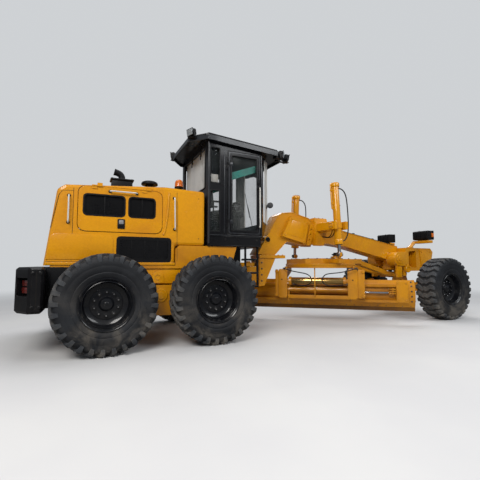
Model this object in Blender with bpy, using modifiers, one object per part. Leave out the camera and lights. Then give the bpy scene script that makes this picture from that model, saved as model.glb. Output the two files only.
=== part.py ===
# Motor grader: a rear frame with tandem drive, engine hood and cab, and a front frame
# hinged to it that carries the drawbar, the circle, the blade and the leaning front wheels.
# Metres, +X forward, +Y left, +Z up. Stations along X are measured from the tandem pivot
# and an empty then puts the middle of the machine's length on the world's origin.
import math

import bmesh
import bpy
from mathutils import Matrix, Vector

# Driving dimensions
WHEEL_DIAMETER = 1.35
TYRE_WIDTH = 0.445
TANDEM_SPACING = 1.56
WHEELBASE = 6.23
REAR_TRACK = 2.18
FRONT_TRACK = 2.276
HITCH_X = 1.90
REAR_END_X = -1.86
FRONT_END_X = 6.95
FRAME_TOP_Z = 1.17
HOOD_WIDTH = 1.56
HOOD_TOP_Z = 2.43
CAB_WIDTH = 1.60
CAB_REAR_X = 0.76
CAB_DOOR_FRONT_X = 1.79
CAB_NOSE_X = 2.04
CAB_FLOOR_Z = 1.68
CAB_EAVE_REAR_Z = 3.33
CAB_EAVE_FRONT_Z = 3.23
CIRCLE_X = 3.70
CIRCLE_DIAMETER = 1.50
CIRCLE_BOTTOM_Z = 1.13
BLADE_LENGTH = 3.66
BLADE_HEIGHT = 0.62
BLADE_EDGE_Z = 0.27
BLADE_YAW = math.radians(-40)
LIFT_X = 3.57
LIFT_TRUNNION_Y = 0.745
LIFT_TRUNNION_Z = 1.99

# Clearances and common plate sizes
SEAT_GAP = 0.0003
RUNNING_GAP = 0.006
OVERRUN = 0.05
PLATE = 0.03
THIN_PLATE = 0.012

SIDES = (("right", -1), ("left", 1))
WHEEL_RADIUS = WHEEL_DIAMETER / 2
HALF_TYRE = TYRE_WIDTH / 2
REAR_WHEEL_Y = REAR_TRACK / 2
FRONT_WHEEL_Y = FRONT_TRACK / 2
HALF_HOOD = HOOD_WIDTH / 2
HALF_CAB = CAB_WIDTH / 2


def clear_scene():
    for obj in list(bpy.data.objects):
        bpy.data.objects.remove(obj)


def new_collection(name):
    collection = bpy.data.collections.new(name)
    bpy.context.scene.collection.children.link(collection)
    return collection


clear_scene()
PARTS = new_collection("motor_grader")
CUTTERS = new_collection("cutters")
MIDDLE_X = (REAR_END_X + FRONT_END_X) / 2


def empty(name, location, parent=None, yaw=0.0):
    obj = bpy.data.objects.new(name, None)
    obj.location = location
    obj.rotation_euler = (0, 0, yaw)
    obj.parent = parent
    PARTS.objects.link(obj)
    return obj


ROW_ORIGIN = empty("row_origin", (-MIDDLE_X, 0, 0))


# Materials
def material(name, colour, roughness, metallic=0.0, alpha=1.0):
    made = bpy.data.materials.new(name)
    made.use_nodes = True
    shader = made.node_tree.nodes["Principled BSDF"]
    shader.inputs["Base Color"].default_value = (*colour, 1.0)
    shader.inputs["Roughness"].default_value = roughness
    shader.inputs["Metallic"].default_value = metallic
    shader.inputs["Alpha"].default_value = alpha
    return made


YELLOW = material("yellow_paint", (0.78, 0.34, 0.01), 0.35)
BLACK = material("black_paint", (0.015, 0.015, 0.018), 0.4)
GREY = material("grey_iron", (0.12, 0.12, 0.12), 0.55, 0.6)
CHROME = material("rod_chrome", (0.8, 0.8, 0.82), 0.15, 1.0)
RUBBER = material("tyre_rubber", (0.03, 0.03, 0.03), 0.85)
GLASS = material("cab_glass", (0.45, 0.52, 0.52), 0.05, 0.0, 0.3)
VINYL = material("seat_vinyl", (0.03, 0.03, 0.035), 0.6)
AMBER = material("amber_lens", (0.9, 0.35, 0.02), 0.2)


# Shape tools: each makes a helper object, which stays a cutter until it is named as a part
WELD_DISTANCE = 0.00005
POINT_WEIGHT_SHARE = 1
OUTWARD_TURN = {
    "-Y": (math.pi / 2, 0, 0),
    "+Y": (-math.pi / 2, 0, 0),
    "+Z": (0, 0, 0),
    "+X": (0, math.pi / 2, 0),
}


def helper(name, mesh):
    obj = bpy.data.objects.new(name, mesh)
    CUTTERS.objects.link(obj)
    obj.hide_render = True
    obj.display_type = "WIRE"
    return obj


def helper_from_bmesh(name, bm):
    mesh = bpy.data.meshes.new(name)
    bm.to_mesh(mesh)
    bm.free()
    return helper(name, mesh)


def box(x, y, z):
    """Box between a low and a high value on each axis."""
    low, high = Vector((min(x), min(y), min(z))), Vector((max(x), max(y), max(z)))
    bm = bmesh.new()
    bmesh.ops.create_cube(bm, size=1.0)
    bmesh.ops.scale(bm, vec=high - low, verts=bm.verts)
    bmesh.ops.translate(bm, vec=(low + high) / 2, verts=bm.verts)
    return helper_from_bmesh("box", bm)


AXIS_TURN = {
    "X": Matrix.Rotation(math.pi / 2, 4, "Y"),
    "Y": Matrix.Rotation(-math.pi / 2, 4, "X"),
    "Z": Matrix.Identity(4),
}


def drum(axis, centre, radius, low, high, sides=16, end_radius=None):
    """Cylinder or cone along an axis, between two values on that axis."""
    bm = bmesh.new()
    bmesh.ops.create_cone(
        bm,
        cap_ends=True,
        segments=sides,
        radius1=radius,
        radius2=radius if end_radius is None else end_radius,
        depth=abs(high - low),
    )
    spot = Vector(centre)
    spot["XYZ".index(axis)] = (low + high) / 2
    turn = Matrix.Translation(spot) @ AXIS_TURN[axis]
    bmesh.ops.transform(bm, matrix=turn, verts=bm.verts)
    return helper_from_bmesh("drum", bm)


def rod_between(start, end, radius, sides=12):
    """Cylinder from one point to another."""
    start, end = Vector(start), Vector(end)
    bm = bmesh.new()
    bmesh.ops.create_cone(
        bm, cap_ends=True, segments=sides, radius1=radius, radius2=radius, depth=(end - start).length
    )
    turn = (end - start).to_track_quat("Z", "Y").to_matrix().to_4x4()
    bmesh.ops.transform(bm, matrix=Matrix.Translation((start + end) / 2) @ turn, verts=bm.verts)
    return helper_from_bmesh("rod", bm)


def beam(start, end, width, height):
    """Box beam from one point to another, its width level."""
    start, end = Vector(start), Vector(end)
    bm = bmesh.new()
    bmesh.ops.create_cube(bm, size=1.0)
    bmesh.ops.scale(bm, vec=((end - start).length, width, height), verts=bm.verts)
    turn = (end - start).to_track_quat("X", "Z").to_matrix().to_4x4()
    bmesh.ops.transform(bm, matrix=Matrix.Translation((start + end) / 2) @ turn, verts=bm.verts)
    return helper_from_bmesh("beam", bm)


PLANE_TURN = {
    "XY": Matrix.Identity(4),
    "XZ": Matrix.Rotation(math.pi / 2, 4, "X"),
    "YZ": Matrix(((0, 0, 1, 0), (1, 0, 0, 0), (0, 1, 0, 0), (0, 0, 0, 1))),
}
NORMAL_SIGN = {"XY": 1, "XZ": -1, "YZ": 1}


def mesh_from_curve(curve):
    """The curve's mesh, with the loose caps welded on, as a helper."""
    guide = bpy.data.objects.new("guide", curve)
    CUTTERS.objects.link(guide)
    bpy.context.view_layer.update()
    graph = bpy.context.evaluated_depsgraph_get()
    mesh = bpy.data.meshes.new_from_object(guide.evaluated_get(graph))
    bpy.data.objects.remove(guide)
    bm = bmesh.new()
    bm.from_mesh(mesh)
    bmesh.ops.remove_doubles(bm, verts=bm.verts, dist=WELD_DISTANCE)
    bmesh.ops.recalc_face_normals(bm, faces=bm.faces)
    bm.to_mesh(mesh)
    bm.free()
    return mesh


def plate(plane, outline, low, high):
    """Flat outline in a plane, extruded between two values on the plane's normal."""
    curve = bpy.data.curves.new("outline", "CURVE")
    curve.dimensions = "2D"
    curve.fill_mode = "BOTH"
    curve.extrude = abs(high - low) / 2
    spline = curve.splines.new("POLY")
    spline.points.add(len(outline) - 1)
    for point, (across, up) in zip(spline.points, outline):
        point.co = (across, up, 0, POINT_WEIGHT_SHARE)
    spline.use_cyclic_u = True
    mesh = mesh_from_curve(curve)
    shift = Matrix.Translation((0, 0, NORMAL_SIGN[plane] * (low + high) / 2))
    mesh.transform(PLANE_TURN[plane] @ shift)
    return helper("plate", mesh)


def tube(points, radius, resolution=1):
    """Round bar through points."""
    curve = bpy.data.curves.new("route", "CURVE")
    curve.dimensions = "3D"
    curve.bevel_depth = radius
    curve.bevel_resolution = resolution
    curve.use_fill_caps = True
    spline = curve.splines.new("POLY")
    spline.points.add(len(points) - 1)
    for point, spot in zip(spline.points, points):
        point.co = (*spot, POINT_WEIGHT_SHARE)
    return helper("tube", mesh_from_curve(curve))


def turned(profile, centre, outward, steps, closed=False):
    """Turned solid: (radius, height) pairs down its outer side, its height axis set by outward."""
    bm = bmesh.new()
    verts = [bm.verts.new((radius, 0, height)) for radius, height in profile]
    for first, second in zip(verts, verts[1:]):
        bm.edges.new((first, second))
    if closed:
        bm.edges.new((verts[-1], verts[0]))
    obj = helper_from_bmesh("turned", bm)
    screw = obj.modifiers.new("Screw", "SCREW")
    screw.steps = screw.render_steps = steps
    screw.use_merge_vertices = True
    screw.merge_threshold = WELD_DISTANCE
    obj.location = centre
    obj.rotation_euler = OUTWARD_TURN[outward]
    return obj


def spun(profile, steps):
    """Closed ring of (radius, height) points turned about Z, as faces that can be raised one by one."""
    bm = bmesh.new()
    verts = [bm.verts.new((radius, 0, height)) for radius, height in profile]
    edges = [bm.edges.new(pair) for pair in zip(verts, verts[1:] + verts[:1])]
    turn = {"cent": (0, 0, 0), "axis": (0, 0, 1), "angle": 2 * math.pi}
    bmesh.ops.spin(bm, geom=verts + edges, steps=steps, **turn)
    bmesh.ops.remove_doubles(bm, verts=bm.verts, dist=WELD_DISTANCE)
    bmesh.ops.recalc_face_normals(bm, faces=bm.faces)
    return bm


def raise_faces(bm, faces, move):
    """Raises each face into a block; move gives each corner's new place from it and its face's middle."""
    for face in bmesh.ops.extrude_discrete_faces(bm, faces=faces)["faces"]:
        middle = face.calc_center_median()
        for vert in face.verts:
            vert.co = move(vert.co.copy(), middle)


def polar(point):
    return math.atan2(point.y, point.x), math.hypot(point.x, point.y)


def boolean(base, operation, pieces):
    for piece in pieces:
        modifier = base.modifiers.new(operation.title(), "BOOLEAN")
        modifier.operation = operation
        modifier.object = piece
    return base


def joined(base, *pieces):
    return boolean(base, "UNION", pieces)


def cut(base, *cutters):
    return boolean(base, "DIFFERENCE", cutters)


def softened(base, width, segments=1, angle=math.radians(40)):
    bevel = base.modifiers.new("Bevel", "BEVEL")
    bevel.width = width
    bevel.segments = segments
    bevel.limit_method = "ANGLE"
    bevel.angle_limit = angle
    return base


def hang(obj, parent):
    """Gives the object, and what is joined to it or cut from it, one parent."""
    obj.parent = parent
    for modifier in obj.modifiers:
        if modifier.type == "BOOLEAN":
            hang(modifier.object, parent)


def part(name, base, finish, parent=ROW_ORIGIN, pivot=(0, 0, 0)):
    """Names a helper as a part of the machine, its origin moved to its pivot on its joint's axis."""
    base.name = name
    base.data.name = name
    base.data.materials.clear()
    base.data.materials.append(finish)
    CUTTERS.objects.unlink(base)
    PARTS.objects.link(base)
    base.hide_render = False
    base.display_type = "TEXTURED"
    base.data.transform(Matrix.Translation(-Vector(pivot)))
    base.location += Vector(pivot)
    hang(base, parent)
    return base


def arc(centre, radius, start, end, count):
    """Points along an arc, angles in degrees."""
    step = (end - start) / (count - 1)
    angles = [math.radians(start + step * i) for i in range(count)]
    return [(centre[0] + radius * math.cos(a), centre[1] + radius * math.sin(a)) for a in angles]


def spread(shares, start, span):
    """Points from shares of a span, measured from its start corner."""
    return [(start[0] + x * span[0], start[1] + z * span[1]) for x, z in shares]


def mirrored_outline(half):
    """An outline from its half at +Y, listed from one end of the mirror line to the other."""
    return half + [(x, -y) for x, y in reversed(half)]


# Rear frame with its nose and hinge ears
FRAME_HALF = 0.40
FRAME_BOTTOM_Z = 0.86
FRAME_REAR_X = -1.52
FRAME_NOSE_START_X = 1.30
NOSE_HALF = 0.20
NOSE_END_X = 1.72
EAR_RADIUS = 0.14
EAR_THICKNESS = 0.07
EAR_TOP_Z = 1.24
EAR_BOTTOM_Z = 0.78
HITCH_PIN_RADIUS = 0.055
SIDE_BOX_REAR_X = 0.235
SIDE_BOX_FRONT_BOTTOM_X = 1.20
SIDE_BOX_FRONT_TOP_X = 1.30
SIDE_BOX_DEPTH = 0.34
SIDE_BOX_CHAMFER = 0.06


def rear_frame():
    deck = box((FRAME_REAR_X, FRAME_NOSE_START_X), (-FRAME_HALF, FRAME_HALF), (FRAME_BOTTOM_Z, FRAME_TOP_Z))
    nose = plate(
        "XY",
        mirrored_outline(
            [
                (FRAME_NOSE_START_X - OVERRUN, FRAME_HALF),
                (FRAME_NOSE_START_X, FRAME_HALF),
                (NOSE_END_X, NOSE_HALF),
            ]
        ),
        EAR_BOTTOM_Z,
        EAR_TOP_Z,
    )
    pieces = [nose]
    for low, high in (
        (EAR_TOP_Z - EAR_THICKNESS, EAR_TOP_Z),
        (EAR_BOTTOM_Z, EAR_BOTTOM_Z + EAR_THICKNESS),
    ):
        outline = [(NOSE_END_X - OVERRUN, EAR_RADIUS)]
        outline += arc((HITCH_X, 0), EAR_RADIUS, 90, -90, 9)
        outline += [(NOSE_END_X - OVERRUN, -EAR_RADIUS)]
        pieces.append(plate("XY", outline, low, high))
    pin_reach = EAR_THICKNESS + PLATE
    pieces.append(
        drum("Z", (HITCH_X, 0, 0), HITCH_PIN_RADIUS, EAR_TOP_Z - pin_reach, EAR_TOP_Z + PLATE, 12)
    )
    pieces.append(
        drum("Z", (HITCH_X, 0, 0), HITCH_PIN_RADIUS, EAR_BOTTOM_Z - PLATE, EAR_BOTTOM_Z + pin_reach, 12)
    )
    sill = box(
        (FRAME_REAR_X + PLATE, SIDE_BOX_FRONT_BOTTOM_X - PLATE),
        (-HALF_HOOD, HALF_HOOD),
        (FRAME_TOP_Z - PLATE, HOOD_BOTTOM_Z - SEAT_GAP),
    )
    pieces.append(sill)
    side_top = BASE_BOTTOM_Z - SEAT_GAP
    for side, sign in SIDES:
        outline = [
            (SIDE_BOX_REAR_X, HOOD_BOTTOM_Z - THIN_PLATE),
            (SIDE_BOX_FRONT_BOTTOM_X, HOOD_BOTTOM_Z - THIN_PLATE),
            (SIDE_BOX_FRONT_TOP_X, side_top),
            (SIDE_BOX_REAR_X + SIDE_BOX_CHAMFER, side_top),
            (SIDE_BOX_REAR_X, side_top - SIDE_BOX_CHAMFER),
        ]
        outer = sign * (HALF_HOOD - SEAT_GAP)
        pieces.append(plate("XZ", outline, outer, sign * (HALF_HOOD - SIDE_BOX_DEPTH)))
    return part("rear_frame", joined(deck, *pieces), YELLOW)


# Counterweight and rear bumper
WEIGHT_HALF = 1.10
WEIGHT_CORNER_Y = 0.85
WEIGHT_SIDE_REAR_X = -1.68
WEIGHT_BOTTOM_Z = 0.58
WEIGHT_TOP_Z = 1.165
NOTCH_LOW_Z = 0.80
NOTCH_HIGH_Z = 1.03
NOTCH_DEPTH = 0.10
NOTCH_HALF = 0.12


def counterweight():
    front = FRAME_REAR_X - SEAT_GAP
    outline = mirrored_outline(
        [(front, WEIGHT_HALF), (WEIGHT_SIDE_REAR_X, WEIGHT_HALF), (REAR_END_X, WEIGHT_CORNER_Y)]
    )
    block = softened(plate("XY", outline, WEIGHT_BOTTOM_Z, WEIGHT_TOP_Z), PLATE)
    corner_x = (REAR_END_X + WEIGHT_SIDE_REAR_X) / 2
    corner_y = (WEIGHT_HALF + WEIGHT_CORNER_Y) / 2
    notches = []
    for side, sign in SIDES:
        across = Vector(
            (WEIGHT_SIDE_REAR_X - REAR_END_X, sign * (WEIGHT_HALF - WEIGHT_CORNER_Y), 0)
        ).normalized()
        middle = Vector((corner_x, sign * corner_y, (NOTCH_LOW_Z + NOTCH_HIGH_Z) / 2))
        notches.append(
            beam(
                middle - across * NOTCH_HALF,
                middle + across * NOTCH_HALF,
                NOTCH_DEPTH * 2,
                NOTCH_HIGH_Z - NOTCH_LOW_Z,
            )
        )
    return part("counterweight", cut(block, *notches), BLACK)


# Tandem cases, axle and wheels
CASE_INNER_Y = 0.60
CASE_OUTER_Y = 0.80
CASE_END_RADIUS = 0.25
CASE_MIDDLE_HEIGHT = 0.36
HUB_RADIUS = 0.14
AXLE_RADIUS = 0.18
DIFFERENTIAL_SHARE = 0.75
SADDLE_INNER_SHARE = 0.775
SADDLE_OUTER_SHARE = 0.925
AXLE_SADDLE_HALF = 0.22


def tandem_case(side, sign):
    half = TANDEM_SPACING / 2
    outline = arc((half, WHEEL_RADIUS), CASE_END_RADIUS, -90, 60, 6)
    outline += [(0, WHEEL_RADIUS + CASE_MIDDLE_HEIGHT / 2 + PLATE)]
    outline += arc((-half, WHEEL_RADIUS), CASE_END_RADIUS, 120, 270, 6)
    case = plate("XZ", outline, sign * CASE_INNER_Y, sign * CASE_OUTER_Y)
    hub_end = REAR_WHEEL_Y + DISC_Z - DISC_THICKNESS - SEAT_GAP
    hubs = [
        drum("Y", (x, 0, WHEEL_RADIUS), HUB_RADIUS, sign * (CASE_OUTER_Y - PLATE), sign * hub_end, 16)
        for x in (half, -half)
    ]
    return part(f"tandem_case_{side}", joined(case, *hubs), YELLOW)


def rear_axle():
    end = CASE_INNER_Y - SEAT_GAP
    top = FRAME_BOTTOM_Z - SEAT_GAP
    axle = drum("Y", (0, 0, WHEEL_RADIUS), AXLE_RADIUS, -end, end, 16)
    housing = drum(
        "X",
        (0, 0, WHEEL_RADIUS - PLATE),
        FRAME_HALF * DIFFERENTIAL_SHARE,
        -AXLE_SADDLE_HALF,
        AXLE_SADDLE_HALF,
        16,
    )
    trim = box((-2 * AXLE_SADDLE_HALF, 2 * AXLE_SADDLE_HALF), (-end, end), (top, top + WHEEL_RADIUS))
    saddles = [
        box(
            (-AXLE_SADDLE_HALF, AXLE_SADDLE_HALF),
            (sign * FRAME_HALF * SADDLE_INNER_SHARE, sign * FRAME_HALF * SADDLE_OUTER_SHARE),
            (WHEEL_RADIUS, top),
        )
        for side, sign in SIDES
    ]
    return part("rear_axle", cut(joined(axle, housing, *saddles), trim), YELLOW)


BEAD_RADIUS = 0.3175
FLANGE_RADIUS = 0.352
FLANGE_THICKNESS = 0.016
BEAD_HALF = 0.185
RIM_WALL = 0.022
DISC_Z = 0.045
DISC_THICKNESS = 0.020
HUB_CAP_RADIUS = 0.12
HUB_CAP_HEIGHT = 0.06
SIDEWALL_RADIUS_SHARE = 0.76
SHOULDER_RADIUS_SHARE = 0.93
SHOULDER_HALF_SHARE = 0.92
CROWN_HALF_SHARE = 0.12
LUG_HEIGHT = 0.022
LUG_WIDTH_SHARE = 0.60
LUG_LEAN_SHARE = 0.20
TYRE_STEPS = 24
RIM_STEPS = 14


def tyre_profile():
    """Half section, bead to crown, mirrored into a closed ring section."""
    facet = 1 / math.cos(math.pi / TYRE_STEPS)
    ground = WHEEL_RADIUS - LUG_HEIGHT
    half = [
        ((BEAD_RADIUS + SEAT_GAP) * facet, BEAD_HALF - SEAT_GAP),
        ((FLANGE_RADIUS + SEAT_GAP) * facet, BEAD_HALF - SEAT_GAP),
        (WHEEL_RADIUS * SIDEWALL_RADIUS_SHARE, HALF_TYRE),
        (ground * SHOULDER_RADIUS_SHARE, HALF_TYRE * SHOULDER_HALF_SHARE),
        (ground, HALF_TYRE * CROWN_HALF_SHARE),
    ]
    return half + [(radius, -height) for radius, height in reversed(half)]


def lug_corner(corner, middle):
    """Where a tread face's corner goes as the face rises into a lug that leans from shoulder to crown."""
    angle, radius = polar(corner)
    centre_angle = polar(middle)[0]
    offset = math.remainder(angle - centre_angle, 2 * math.pi) * LUG_WIDTH_SHARE
    side = math.copysign(1, corner.z)
    crown = radius > polar(middle)[1]
    lean = LUG_LEAN_SHARE * 2 * math.pi / TYRE_STEPS * side if crown else 0
    radius = WHEEL_RADIUS if crown else WHEEL_RADIUS * SHOULDER_RADIUS_SHARE
    height = corner.z if crown else side * HALF_TYRE
    turn = centre_angle + offset + lean
    return Vector((radius * math.cos(turn), radius * math.sin(turn), height))


def lugged_tyre():
    """Tyre ring with a lug on every other face of each shoulder, the two rows staggered."""
    bm = spun(tyre_profile(), TYRE_STEPS)
    shoulder = HALF_TYRE * SHOULDER_HALF_SHARE
    step = 2 * math.pi / TYRE_STEPS
    lugs = []
    for face in bm.faces:
        middle = face.calc_center_median()
        angle, radius = polar(middle)
        row = math.floor(angle / step) % 2
        on_tread = radius > WHEEL_RADIUS * SHOULDER_RADIUS_SHARE - LUG_HEIGHT
        off_crown = HALF_TYRE * CROWN_HALF_SHARE < abs(middle.z) < shoulder
        if on_tread and off_crown and row == (middle.z > 0):
            lugs.append(face)
    raise_faces(bm, lugs, lug_corner)
    return helper_from_bmesh("tyre", bm)


def rim_profile(disc_z):
    flange_top = BEAD_HALF + FLANGE_THICKNESS
    inner = BEAD_RADIUS - RIM_WALL
    return [
        (0, disc_z + HUB_CAP_HEIGHT),
        (HUB_CAP_RADIUS, disc_z + HUB_CAP_HEIGHT),
        (HUB_CAP_RADIUS, disc_z),
        (inner, disc_z),
        (inner, flange_top),
        (FLANGE_RADIUS, flange_top),
        (FLANGE_RADIUS, BEAD_HALF),
        (BEAD_RADIUS, BEAD_HALF),
        (BEAD_RADIUS, -BEAD_HALF),
        (FLANGE_RADIUS, -BEAD_HALF),
        (FLANGE_RADIUS, -flange_top),
        (inner, -flange_top),
        (inner, disc_z - DISC_THICKNESS),
        (0, disc_z - DISC_THICKNESS),
    ]


def wheel(place, side, sign, x, y):
    centre = (x, sign * y, WHEEL_RADIUS)
    outward = "-Y" if sign < 0 else "+Y"
    tyre = lugged_tyre()
    tyre.location = centre
    tyre.rotation_euler = OUTWARD_TURN[outward]
    part(f"tyre_{place}_{side}", tyre, RUBBER)
    rim = turned(rim_profile(DISC_Z), centre, outward, RIM_STEPS)
    part(f"rim_{place}_{side}", rim, BLACK)


# Hinges: a knuckle and leaf on the fixed side and on the leaf that opens
HINGE_RADIUS = 0.012
HINGE_LENGTH = 0.07
HINGE_START = 0.002
HINGE_REACH = 0.045
HINGE_SINK = 0.010


def hinge_half(axis, spot, low, inward, leaf, sink=HINGE_SINK):
    """Knuckle along an axis with its leaf; inward and leaf are signed directions in the other two axes."""
    high = low + HINGE_LENGTH
    knuckle = drum(axis, spot, HINGE_RADIUS, low, high, 8)
    ranges = {axis: (low, high)}
    (in_axis, in_sign), (leaf_axis, leaf_sign) = inward, leaf
    base = dict(zip("XYZ", spot))
    ranges[in_axis] = (base[in_axis] + in_sign * (HINGE_RADIUS + sink), base[in_axis])
    ranges[leaf_axis] = (
        base[leaf_axis] + leaf_sign * HINGE_START, base[leaf_axis] + leaf_sign * HINGE_REACH
    )
    return joined(box(ranges["X"], ranges["Y"], ranges["Z"]), knuckle)


# Engine hood, its doors, screens and grille
HOOD_REAR_BOTTOM_X = -1.58
HOOD_REAR_TOP_X = -1.44
HOOD_REAR_TOP_Z = 2.26
HOOD_REAR_SLOPE_X = -1.34
HOOD_REAR_SLOPE_Z = 2.33
HOOD_FRONT_X = 0.72
HOOD_BREAK_X = 0.07
HOOD_FRONT_TOP_Z = 2.41
HOOD_BOTTOM_Z = 1.185
HOOD_WALL = 0.04
HOOD_BEVEL = 0.05
DOOR_REAR_X = -1.18
DOOR_FRONT_X = 0.02
DOOR_BOTTOM_Z = 1.67
DOOR_TOP_Z = 2.34
DOOR_GAP = 0.008
DOOR_THICKNESS = 0.03
DOOR_CORNER = 0.10
DOOR_PROUD = 0.012
VENT_LOW_Z = 1.91
VENT_HIGH_Z = 2.21
VENT_SPANS = ((-1.10, -0.545), (-0.485, -0.10))
SCREEN_REAR_X = -0.64
SCREEN_FRONT_X = 0.157
SCREEN_LOW_Z = 1.24
SCREEN_HIGH_Z = 1.61
SCREEN_CORNER = 0.05
GRILLE_HALF = 0.58
GRILLE_LOW_Z = 1.32
GRILLE_HIGH_Z = 2.10
GRILLE_SLATS = 7
HOOD_HINGE_X = (-1.00, -0.30)


def rounded_rectangle(low_x, high_x, low_z, high_z, radius, count=4):
    points = arc((high_x - radius, low_z + radius), radius, -90, 0, count)
    points += arc((high_x - radius, high_z - radius), radius, 0, 90, count)
    points += arc((low_x + radius, high_z - radius), radius, 90, 180, count)
    points += arc((low_x + radius, low_z + radius), radius, 180, 270, count)
    return points


def hood_outline(inset):
    """Side view of the hood, moved in by a wall's thickness, its open bottom run past."""
    return [
        (HOOD_REAR_BOTTOM_X + inset, HOOD_BOTTOM_Z - HOOD_BEVEL - inset),
        (SIDE_BOX_REAR_X - DOOR_GAP - inset, HOOD_BOTTOM_Z - HOOD_BEVEL - inset),
        (SIDE_BOX_REAR_X - DOOR_GAP - inset, BASE_BOTTOM_Z + inset),
        (HOOD_FRONT_X - inset, BASE_BOTTOM_Z + inset),
        (HOOD_FRONT_X - inset, HOOD_FRONT_TOP_Z - inset),
        (HOOD_BREAK_X, HOOD_TOP_Z - inset),
        (HOOD_REAR_SLOPE_X + inset / 2, HOOD_REAR_SLOPE_Z - inset),
        (HOOD_REAR_TOP_X + inset, HOOD_REAR_TOP_Z - inset),
    ]


def hood():
    shell = softened(plate("XZ", hood_outline(0), -HALF_HOOD, HALF_HOOD), HOOD_BEVEL, 2)
    inside = plate("XZ", hood_outline(HOOD_WALL), -HALF_HOOD + HOOD_WALL, HALF_HOOD - HOOD_WALL)
    trim = box(
        (HOOD_REAR_BOTTOM_X - OVERRUN, SIDE_BOX_REAR_X + OVERRUN),
        (-HALF_HOOD - OVERRUN, HALF_HOOD + OVERRUN),
        (HOOD_BOTTOM_Z - 4 * OVERRUN, HOOD_BOTTOM_Z),
    )
    holes = [inside, trim]
    for side, sign in SIDES:
        span = (sign * (HALF_HOOD - HOOD_WALL - OVERRUN), sign * (HALF_HOOD + OVERRUN))
        door = rounded_rectangle(DOOR_REAR_X, DOOR_FRONT_X, DOOR_BOTTOM_Z, DOOR_TOP_Z, DOOR_CORNER)
        screen = rounded_rectangle(
            SCREEN_REAR_X, SCREEN_FRONT_X, SCREEN_LOW_Z, SCREEN_HIGH_Z, SCREEN_CORNER
        )
        holes.append(plate("XZ", door, *span))
        holes.append(plate("XZ", screen, *span))
    holes.append(
        box(
            (HOOD_REAR_BOTTOM_X - OVERRUN, HOOD_REAR_TOP_X + HOOD_WALL + OVERRUN),
            (-GRILLE_HALF, GRILLE_HALF),
            (GRILLE_LOW_Z, GRILLE_HIGH_Z),
        )
    )
    cut(shell, *holes)
    for side, sign in SIDES:
        for x in HOOD_HINGE_X:
            spot = hood_hinge_spot(sign)
            low = x + HINGE_LENGTH + SEAT_GAP
            joined(shell, hinge_half("X", spot, low, ("Y", -sign), ("Z", 1), DOOR_PROUD + HOOD_WALL / 2))
    return part("hood", shell, YELLOW)


def hood_hinge_spot(sign):
    """Point on a hood door's hinge axis."""
    return (0, sign * (HALF_HOOD + DOOR_PROUD + HINGE_RADIUS), DOOR_TOP_Z)


def hood_door(side, sign):
    """Top-hinged service door with two vent openings, on the hood's outer side."""
    outline = rounded_rectangle(
        DOOR_REAR_X + DOOR_GAP,
        DOOR_FRONT_X - DOOR_GAP,
        DOOR_BOTTOM_Z + DOOR_GAP,
        DOOR_TOP_Z - DOOR_GAP,
        DOOR_CORNER,
    )
    outer = sign * (HALF_HOOD + DOOR_PROUD)
    inner = sign * (HALF_HOOD + DOOR_PROUD - DOOR_THICKNESS)
    panel = plate("XZ", outline, inner, outer)
    vents = []
    for low, high in VENT_SPANS:
        vent = rounded_rectangle(low, high, VENT_LOW_Z, VENT_HIGH_Z, SCREEN_CORNER)
        vents.append(plate("XZ", vent, inner - OVERRUN, inner + OVERRUN))
    cut(panel, *vents)
    for x in HOOD_HINGE_X:
        joined(panel, hinge_half("X", hood_hinge_spot(sign), x, ("Y", -sign), ("Z", -1)))
    part(f"hood_door_{side}", panel, YELLOW, pivot=hood_hinge_spot(sign))
    screen = rounded_rectangle(
        VENT_SPANS[0][0] - PLATE,
        VENT_SPANS[1][1] + PLATE,
        VENT_LOW_Z - PLATE,
        VENT_HIGH_Z + PLATE,
        SCREEN_CORNER
    )
    back = inner - sign * SEAT_GAP
    mesh_plate = plate("XZ", screen, back, back - sign * THIN_PLATE)
    part(f"door_screen_{side}", mesh_plate, BLACK, pivot=hood_hinge_spot(sign))


def side_screen(side, sign):
    """Black lower screen, flush in its opening in the hood's wall."""
    gap = SEAT_GAP
    outline = rounded_rectangle(
        SCREEN_REAR_X + gap, SCREEN_FRONT_X - gap, SCREEN_LOW_Z + gap, SCREEN_HIGH_Z - gap, SCREEN_CORNER
    )
    outer = sign * (HALF_HOOD - DOOR_PROUD / 2)
    part(f"side_screen_{side}", plate("XZ", outline, outer, outer - sign * PLATE), BLACK)


def leaned(obj, slope, from_z):
    """Leans an upright shape forward with height, as the hood's rear wall does."""
    lean = Matrix.Identity(4)
    lean[0][2], lean[0][3] = slope, -slope * from_z
    obj.data.transform(lean)
    return obj


def rear_grille():
    """Frame with level slats behind the hood's rear opening."""
    foot_z = HOOD_BOTTOM_Z - HOOD_BEVEL
    slope = (HOOD_REAR_TOP_X - HOOD_REAR_BOTTOM_X) / (HOOD_REAR_TOP_Z - foot_z)
    rear = HOOD_REAR_BOTTOM_X + HOOD_WALL + SEAT_GAP
    from_z = foot_z - HOOD_WALL
    half, low, high = GRILLE_HALF + PLATE, GRILLE_LOW_Z - PLATE, GRILLE_HIGH_Z + PLATE
    panel = leaned(box((rear, rear + PLATE), (-half, half), (low, high)), slope, from_z)
    border = 2 * PLATE
    window = leaned(
        box((rear - PLATE, rear + border), (-half + border, half - border), (low + border, high - border)),
        slope,
        from_z
    )
    cut(panel, window)
    pitch = (high - low - 2 * border) / (GRILLE_SLATS + 1)
    for i in range(GRILLE_SLATS):
        z = low + border + pitch * (i + 1)
        slat = box(
            (rear + THIN_PLATE / 2, rear + PLATE - THIN_PLATE / 2),
            (-half + PLATE, half - PLATE),
            (z - THIN_PLATE, z + THIN_PLATE),
        )
        joined(panel, leaned(slat, slope, from_z))
    return part("rear_grille", panel, BLACK)


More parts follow.
